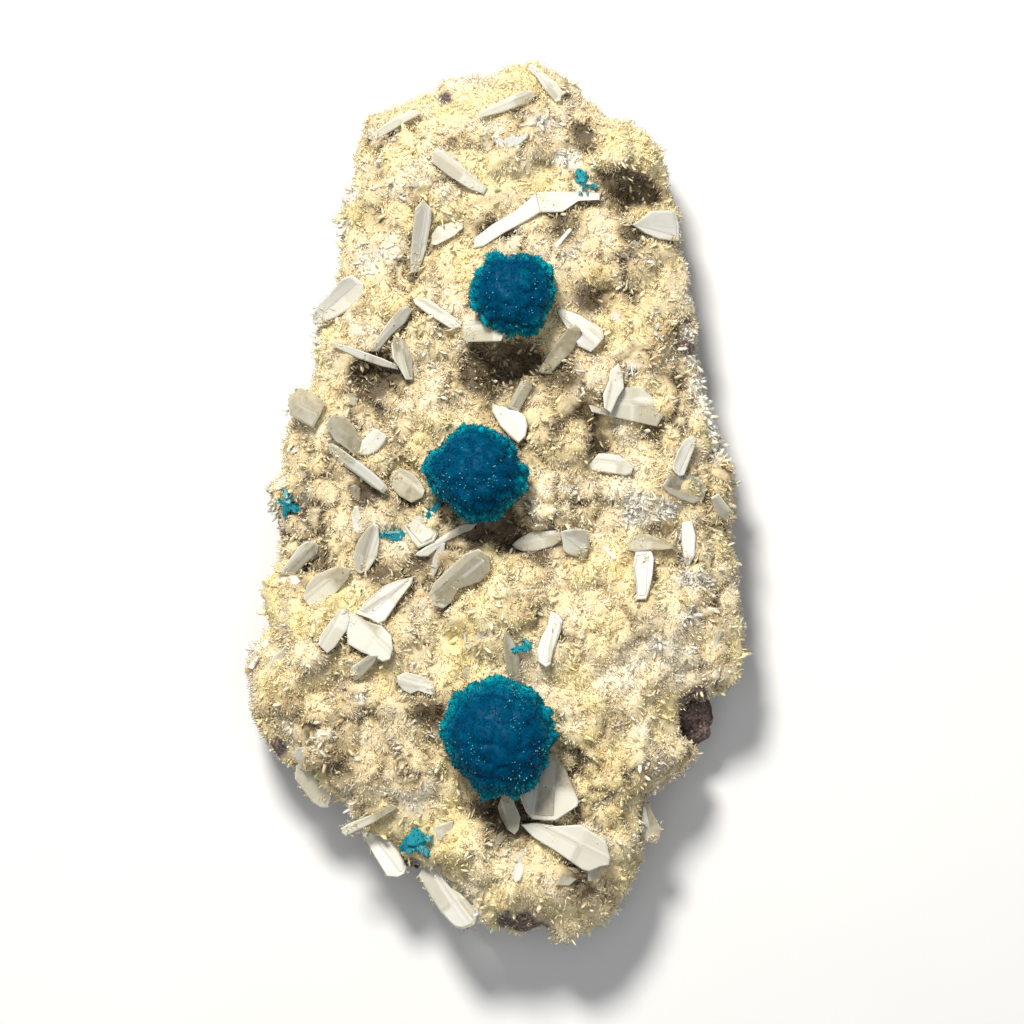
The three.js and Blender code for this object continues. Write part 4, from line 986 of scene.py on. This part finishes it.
def add_druse_bed(material):
    """The crust that the crystals of the druse stand on, and that shows between them."""
    piece = remeshed("stilbite_druse", "druse_bed", DRUSE_VOXEL, 3)
    mesh = piece.data
    points, normals = mesh_points(mesh), vectors_of(mesh, "normal")
    height, shade, _ = shade_of(points)
    bare = bareness(points)
    grain = rough_noise(points, 0.7, 41)
    rise = height + BED_GRAIN * (grain - 0.5) - BED_DROP - DRUSE_SINK
    rise = rise - HOLLOW_DROP * np.clip(shade - 0.6, 0, 1)
    rise = rise * (1 - BARE_FLATNESS * bare)
    set_points(mesh, points + normals * rise[:, None])
    put_numbers(mesh, "shade", np.clip(shade * 1.15 + 0.08, 0, 1))
    put_numbers(mesh, "bare", bare)
    put_numbers(mesh, "frost", 0.8 * frost_of(points))
    smooth_faces(mesh)
    return keep(piece, material, "druse", "stilbite_druse")


def growing(centre, normal):
    """How densely the druse grows: hardly on the underside of the slab, and little on bare basalt."""
    under = (normal[:, 2] < -0.45) & (centre[:, 2] < UNDERSIDE_TOP)
    return np.where(under, 0.05, 1.0) * (1 - 0.8 * bareness(centre))


def growing_frosted(centre, normal):
    return growing(centre, normal) * (1 + 4 * frost_of(centre))


def add_in_pieces(name, most, make, places, directions, sizes, random, material, values):
    """Makes many small crystals, with no more than most in one piece."""
    for start in range(0, len(places), most):
        part = slice(start, start + most)
        piece_name = f"{name}_{start // most + 1}"
        mesh = make(piece_name, places[part], directions[part], *(size[part] for size in sizes), random,
                    {key: numbers[part] for key, numbers in values.items()})
        keep(link(piece_name, mesh), material, "druse")


def add_druse_shards(bed, obstacles, overgrown, material, random):
    """The fine crystals of the druse, and those that grow over the lower ends of the stilbite blades."""
    place, normal = scatter_on(bed.data, DRUSE_SHARDS, random, growing)
    free = ~buried(obstacles, place, 0.03)
    place = np.concatenate([place[free], overgrown])
    normal = np.concatenate([normal[free], straight_up(len(overgrown))])
    count = len(place)
    _, shade, outward = shade_of(place)
    shade = shade * (1 - random.uniform(0, 0.6, count) * (1 - shade))
    frost = 0.75 * frost_of(place) * random.uniform(0.3, 1.0, count)
    rim = steepness(normal)
    direction = normal * 0.3 + outward * 0.75 + any_way(random, count) * 0.62
    length = (0.34 + 0.5 * random.random(count) ** 1.6) * (1 - 0.3 * rim)
    width = 0.06 + 0.16 * random.random(count) ** 2
    # random tone, a little paler on steep faces; the palest crystals are painted sparkle
    tint = np.clip(random.random(count) ** 0.9 + 0.1 * rim, 0, 1)
    add_in_pieces("druse_fuzz", PIECE_SHARDS, shards, place - normal * ROOT_SINK, direction, (length, width),
                  random, material, {"shade": shade, "tint": tint, "frost": frost})


def add_druse_laths(bed, obstacles, material, random):
    """The larger crystals of the druse, and clusters of white ones where the photograph has glints."""
    place, normal = scatter_on(bed.data, DRUSE_LATHS, random, growing_frosted)
    clusters = np.repeat(on_ground(tree_of([bed])[0], GLINTS), GLINT_LATHS, axis=0)
    place = np.concatenate([place, clusters])
    normal = np.concatenate([normal, straight_up(len(clusters))])
    glint = np.arange(len(place)) >= len(place) - len(clusters)
    free = ~buried(obstacles, place, 0.25) | glint
    place, normal, glint = place[free], normal[free], glint[free]
    count = len(place)
    # white at the glint places: partly white crystals, partly painted sparkle
    frost = np.where(glint, 1.0, frost_of(place))
    direction = normal * 0.5 + any_way(random, count) * 0.9
    big = random.random(count) ** 2.5
    length = 0.4 + 0.8 * big + 0.15 * frost
    width = 0.14 + 0.26 * big + 0.1 * frost
    thickness = 0.06 + 0.09 * big
    shade = np.clip(shade_of(place)[1] - 0.35 * random.random(count), 0, 1)
    # random tone, paler on steep faces and at the glint places, where the palest are painted sparkle
    tint = np.clip(0.5 + 0.5 * random.random(count) + 0.2 * steepness(normal) + 0.3 * glint, 0, 1)
    add_in_pieces("druse_laths", PIECE_LATHS, laths, place - normal * LATH_SINK, direction,
                  (length, width, thickness), random, material,
                  {"shade": shade, "tint": tint, "frost": frost})


def ball_core(name, centre, upright, outline, seed):
    """The core of a rosette: softly lobed, knobbly, and with the outline that is seen from above."""
    shape = bmesh.new()
    bmesh.ops.create_icosphere(shape, subdivisions=6, radius=1.0)
    directions = np.array([vertex.co[:] for vertex in shape.verts])
    mesh = bpy.data.meshes.new(name)
    shape.to_mesh(mesh)
    shape.free()
    turn = np.degrees(np.arctan2(directions[:, 1], directions[:, 0])) % 360
    angles = np.array([angle for angle, _ in outline])
    radii = np.array([radius for _, radius in outline])
    level = np.hypot(directions[:, 0], directions[:, 1])
    girth = np.interp(turn, angles, radii, period=360)
    girth = radii.mean() + (girth - radii.mean()) * level ** 4
    points = centre + directions * np.stack([girth, girth, np.full(len(girth), upright)], axis=1)
    lobe, _, next_lobe = nearest_seed(points, LOBE_CELL, seed)
    knob, knob_seed, next_knob = nearest_seed(points, BALL_KNOB_CELL, seed + 7)
    crease = np.clip((next_lobe - lobe) / LOBE_CREASE, 0, 1)
    small_crease = np.clip((next_knob - knob) / BALL_KNOB_CREASE, 0, 1)
    knob_height = cell_random(np.floor(knob_seed * 50).astype(np.int64), seed)
    standing = 0.07 + 0.5 * np.clip((level - 0.72) / 0.28, 0, 1) ** 2
    rise = 0.34 * crease ** 0.7 + standing * (small_crease ** 0.5 + 0.5 * knob_height)
    rise = rise + 0.1 * (rough_noise(points, 0.6, seed) - 0.5) - 0.42 - standing
    points = points + directions * rise[:, None]
    set_points(mesh, points)
    # painted shade: the teal fades on the underside of the ball and in the creases between lobes and knobs
    under = np.clip(1 + 1.6 * directions[:, 2], 0.35, 1)
    tip = np.clip((level - 0.74) * 3.4, 0, 1) * under * (0.34 + 0.4 * small_crease + 0.3 * knob_height)
    tip = tip + 0.2 * smooth_noise(points, 2.0, seed + 9) * small_crease - 0.2 * (1 - crease)
    put_numbers(mesh, "tip", np.clip(tip, 0, 1))
    smooth_faces(mesh)
    return mesh


def add_ball(node, middle, count, outline, material, painted_glint):
    """A rosette: its core, short splinters all over that, and a few glossy faces painted pale cyan as glints.
    """
    random = np.random.default_rng(count)
    low, high = (np.array(corner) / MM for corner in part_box(node))
    centre = np.array([*middle, (low[2] + high[2]) / 2])
    name = node.replace("cavansite_", "")
    mesh = ball_core(name + "_core", centre, (high[2] - low[2]) / 2 - 0.1, outline, count)
    keep(link(name + "_core", mesh), material, "cavansite_ball", node)

    place, normal = scatter_on(mesh, count, random)
    outward = unit(place - centre)
    direction = normal * 0.5 + outward * 0.6 + any_way(random, count) * 0.5
    level = np.hypot(outward[:, 0], outward[:, 1])
    length = 0.12 + 0.2 * random.random(count)
    width = 0.08 + 0.1 * random.random(count)
    # painted shade: the teal of the rim fades on the underside of the ball
    rimward = np.clip((level - 0.86) * 5.0, 0, 1) * np.clip(1 + 1.6 * outward[:, 2], 0.3, 1)
    tip = rimward * (0.35 + 0.65 * random.random(count) ** 2) + 0.35 * random.random(count) ** 3
    blades = shards(name + "_blades", place - normal * ROOT_SINK, direction, length, width, random,
                    {"tip": np.clip(tip, 0, 1)})
    keep(link(name + "_blades", blades), material, "cavansite_ball")

    # painted glints: pale cyan laths, gathered in patches
    sparkling = smooth_noise(place, 2.2, count) ** 5
    bright = random.choice(count, count // SPLINTERS_PER_PAINTED_GLINT, replace=False, p=sparkling / sparkling.sum())
    place, normal, count = place[bright], normal[bright], len(bright)
    glints = laths(name + "_glints", place, normal + 0.9 * any_way(random, count),
                   random.uniform(0.08, 0.24, count), random.uniform(0.05, 0.15, count),
                   np.full(count, 0.06), random, {})
    keep(link(name + "_glints", glints), painted_glint, "cavansite_ball")


class Plates:
    """Gathers flat crystals with bevelled edges into one mesh."""

    def __init__(self, random):
        self.random = random
        self.points, self.faces, self.overgrown = [], [], []
        self.numbers = {"along": [], "across": [], "milk": [], "rim": []}

    def ring(self, corners, place, drop, rim, milk):
        """Adds a ring of points at a depth under the top plane, and returns the number of its first point."""
        centre, axis, side, level, slopes = place
        start = len(self.points)
        for x, y in corners:
            height = level + (x - centre[0]) * slopes[0] + (y - centre[1]) * slopes[1] - drop
            away = np.array([x, y]) - centre
            self.points.append((x, y, height))
            for key, value in (("along", away @ axis), ("across", away @ side), ("milk", milk), ("rim", rim)):
                self.numbers[key].append(value)
        return start

    def add(self, outline, middle, slopes, thickness, milk, bevel=1.0):
        """Adds one crystal, with its top on the plane through middle with these slopes."""
        corners, area, girth = oriented(outline)
        width = 2 * area / girth
        centre, axis, side = axes_in_plan(corners)
        level = middle[2] + (centre[0] - middle[0]) * slopes[0] + (centre[1] - middle[1]) * slopes[1]
        place = (centre, axis, side, level, slopes)
        along, across = (corners - centre) @ axis, (corners - centre) @ side
        edge = min(BEVEL, 0.16 * width) * bevel
        inner = min(TOP_INSET, TOP_INSET * width)

        def inset(distance):
            shorter = along * (1 - distance / np.abs(along).max())
            narrower = across * (1 - distance / np.abs(across).max())
            return centre + shorter[:, None] * axis + narrower[:, None] * side

        count = len(corners)
        # rim is 1 on the upper edge of the sides and less on the bevel, where a crystal is painted paler as a
        # bright outline of light
        rings = [self.ring(corners, place, thickness, 0.0, milk),
                 self.ring(corners, place, edge * 0.9, 1.0, milk),
                 self.ring(inset(edge), place, 0.0, 0.4, milk),
                 self.ring(inset(inner), place, -0.02 * width * bevel, 0.0, milk)]
        for k in range(rings[3], rings[3] + count):
            x, y, z = self.points[k]
            self.points[k] = (x, y, z + self.random.uniform(-0.025, 0.025))
        for lower, upper in zip(rings, rings[1:]):
            for k in range(count):
                following = (k + 1) % count
                self.faces.append((lower + k, lower + following, upper + following, upper + k))
        self.faces.append(tuple(rings[3] + k for k in range(count)))
        self.faces.append(tuple(rings[0] + k for k in reversed(range(count))))

    def grow_over(self, outline, middle, slopes):
        """Notes places on the lower end of a crystal, and along its edges, where the druse grows over it."""
        corners, area, _ = oriented(outline)
        centre, axis = uphill_axes(corners, slopes)
        along = (corners - centre) @ axis

        def lie_of(place):
            """How far up the crystal a place is, 0 to 1, and its height."""
            step = ((place - centre) @ axis - along.min()) / np.ptp(along)
            return step, middle[2] + (place - middle[:2]) @ slopes

        for _ in range(int(END_TRIES + END_TRIES_PER_AREA * area)):
            place = self.random.dirichlet(np.full(len(corners), 0.35)) @ corners
            step, height = lie_of(place)
            if self.random.random() < np.exp(-(step / END_REACH) ** 2):
                self.overgrown.append((*place, height - 0.05))
        for here, there in edges_of(corners):
            for _ in range(int(EDGE_CRYSTALS * np.linalg.norm(there - here))):
                place = here + (there - here) * self.random.random()
                step, height = lie_of(place)
                self.overgrown.append((*place, height - 0.2 - 0.45 * step - 0.2 * self.random.random()))

    def add_with_step(self, outline, middle, slopes, thickness, milk):
        """A crystal, and on most of the wide ones a thinner one grown along one side of its top."""
        self.add(outline, middle, slopes, thickness, milk)
        self.grow_over(outline, middle, slopes)
        corners, area, girth = oriented(outline)
        if 2 * area / girth < STEP_WIDTH or self.random.random() < STEP_MISSING:
            return
        centre, _, side = axes_in_plan(corners)
        across = (corners - centre) @ (side * self.random.choice([-1, 1]))
        beyond = across - np.quantile(across, self.random.uniform(0.3, 0.5))
        kept = []
        for (here, there), (first, last) in zip(edges_of(corners), zip(beyond, np.roll(beyond, -1))):
            if first >= 0:
                kept.append(here)
            if first * last < 0:
                kept.append(here + (there - here) * first / (first - last))
        if len(kept) > 3:
            kept = np.array(kept)
            kept = kept.mean(axis=0) + (kept - kept.mean(axis=0)) * self.random.uniform(0.82, 0.95)
            raised = np.array([middle[0], middle[1], middle[2] + self.random.uniform(0.05, 0.1)])
            paler = np.clip(milk + self.random.uniform(-0.15, 0.15), 0, 1)
            self.add(kept, raised, slopes, STEP_THICKNESS, paler, 0.6)

    def piece(self, name):
        mesh = mesh_from(name, np.array(self.points), self.faces)
        for key, values in self.numbers.items():
            put_numbers(mesh, key, np.array(values))
        return link(name, mesh)


def packed_under(tree, owners, places):
    """Which packed crystal most of some places lie on, and those places on it, or None twice."""
    hits = []
    for x, y in places:
        place, normal, face = looked_down_on(tree, x, y)
        if place is not None and normal.z > 0.3:
            hits.append((owners[face], x, y, place.z / MM))
    found = [hit[0] for hit in hits]
    owner = max(set(found), key=found.count) if found else None
    if found.count(owner) < PACKED_SHARE * len(places):
        return None, None
    return owner, np.array([hit[1:] for hit in hits if hit[0] == owner])


def add_stilbite(bed, material):
    """The stilbite crystals. Each lies on the top of its packed prism, and prisms packed as one stay one
    piece. The small ones, which are not packed, lie half sunk in the druse."""
    random = np.random.default_rng(44)
    nodes = sorted(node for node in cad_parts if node.startswith("stilbite_blade"))
    tree, owners = tree_of([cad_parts[node] for node in nodes])
    ground, _ = tree_of([bed])
    made = {node: Plates(random) for node in [*nodes, "small_blades"]}
    for milk, outline in STILBITE:
        corners, area, girth = oriented(outline)
        width = 2 * area / girth
        places = samples_in(corners)
        owner, spots = packed_under(tree, owners, places)
        if owner is None:
            node, spots = "small_blades", on_ground(ground, places)
            lift, thickness = SMALL_LIFT + 0.12 * width, SMALL_THICKNESS
        else:
            node, lift, thickness = nodes[owner], 0.0, max(BLADE_THICKNESS, 0.5 * width)
        middle, slopes = plane_near(spots)
        centre, axis = uphill_axes(corners, slopes)
        slopes = slopes + axis * END_DIP / (2 * np.abs((corners - centre) @ axis).max())
        middle = middle + np.array([0.0, 0.0, lift - END_DIP / 2])
        made[node].add_with_step(outline, middle, slopes, thickness, milk)
    pieces, overgrown = [], []
    for node, plates in made.items():
        overgrown += plates.overgrown
        if plates.points:
            packed = [node] if node in nodes else []
            pieces.append(keep(plates.piece(node.replace("stilbite_", "")), material, "stilbite", *packed))
    return pieces, np.array(overgrown)


def add_spray(node, leaves, ground, material):
    """A cavansite spray: flat leaves that lean on one another, and needles that stand out of them."""
    random = np.random.default_rng(len(node))
    plates = Plates(random)
    low, high = (corner.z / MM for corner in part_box(node))
    area = 0.0
    for order, (pale, outline) in enumerate(leaves):
        corners, leaf_area, _ = oriented(outline)
        area += leaf_area
        spots = on_ground(ground, samples_in(corners))
        middle, _ = plane_near(spots)
        middle[2] = max(spots[:, 2].max() + LEAF_LIFT, low + 0.3) + LEAF_RISE * order
        middle[2] = min(middle[2], high + 0.3)
        plates.add(outline, middle, random.uniform(-0.25, 0.25, 2), LEAF_THICKNESS, pale)
    name = node.replace("cavansite_", "")
    piece = keep(plates.piece(name), material, "cavansite_spray", node)

    place, normal = scatter_on(piece.data, int(TIPS + TIPS_PER_AREA * area), random)
    count = len(place)
    outward = unit(place - place.mean(axis=0))
    direction = outward * 0.7 + normal * 0.5 + random.normal(size=(count, 3)) * 0.2
    # the needles' rim number makes them a little paler, painted edge light
    needles = laths(name + "_tips", place - outward * LATH_SINK, direction, random.uniform(0.15, 0.42, count),
                    random.uniform(0.08, 0.18, count), np.full(count, 0.05), random,
                    {"milk": 0.75 * random.random(count) ** 2, "rim": np.full(count, 0.4)})
    keep(link(name + "_tips", needles), material, "cavansite_spray")


# ---------------------------------------------------------------- stage

def add_light(name, direction, distance, size, power, colour):
    light = bpy.data.lights.new(name, "AREA")
    light.shape = "DISK"
    light.size = size * MM
    light.energy = power
    light.color = colour
    lamp = link(name, light)
    away = Vector(direction).normalized()
    lamp.location = away * distance * MM
    lamp.rotation_euler = away.to_track_quat("Z", "Y").to_euler()


def add_stage():
    corners = [(x * FLOOR_HALF, y * FLOOR_HALF, 0) for x, y in ((-1, -1), (1, -1), (1, 1), (-1, 1))]
    floor = link("floor", mesh_from("floor", np.array(corners), [(0, 1, 2, 3)]))
    floor.data.materials.append(floor_material())
    for name, light in LIGHTS.items():
        add_light(name, *light)
    world = bpy.data.worlds.new("room")
    bpy.context.scene.world = world
    world.use_nodes = True
    background = world.node_tree.nodes["Background"]
    background.inputs["Color"].default_value = ROOM_COLOUR
    background.inputs["Strength"].default_value = ROOM_STRENGTH
    bpy.context.scene.view_settings.view_transform = "Standard"


def add_camera():
    camera = link("camera", bpy.data.cameras.new("camera"))
    camera.data.lens = FOCAL
    camera.data.sensor_width = SENSOR
    height = PICTURE_PLANE + PICTURE_WIDTH * FOCAL / SENSOR
    camera.location = Vector((PICTURE_CENTRE[0], PICTURE_CENTRE[1], height)) * MM
    camera.data.clip_start = 0.01
    camera.data.clip_end = 10.0
    bpy.context.scene.camera = camera


# ---------------------------------------------------------------- the specimen

add_stage()
add_camera()

blue, painted_glint = cavansite_material(), painted_glint_material()
for node, (middle, count, outline) in BALLS.items():
    add_ball(node, middle, count, outline, blue, painted_glint)
add_basalt(basalt_material())
bed = add_druse_bed(bed_material())
blades, overgrown = add_stilbite(bed, blade_material())
ground, _ = tree_of([bed, *blades])
teal = spray_material()
for node, leaves in SPRAYS.items():
    add_spray(node, leaves, ground, teal)

obstacles, _ = tree_of(blades + [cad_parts[node] for node in BALLS])
random = np.random.default_rng(5)
fine = druse_crystal_material("druse_fuzz", 0.05, 0.3)
coarse = druse_crystal_material("druse_laths", 0.2, 0.16)
add_druse_shards(bed, obstacles, overgrown, fine, random)
add_druse_laths(bed, obstacles, coarse, random)
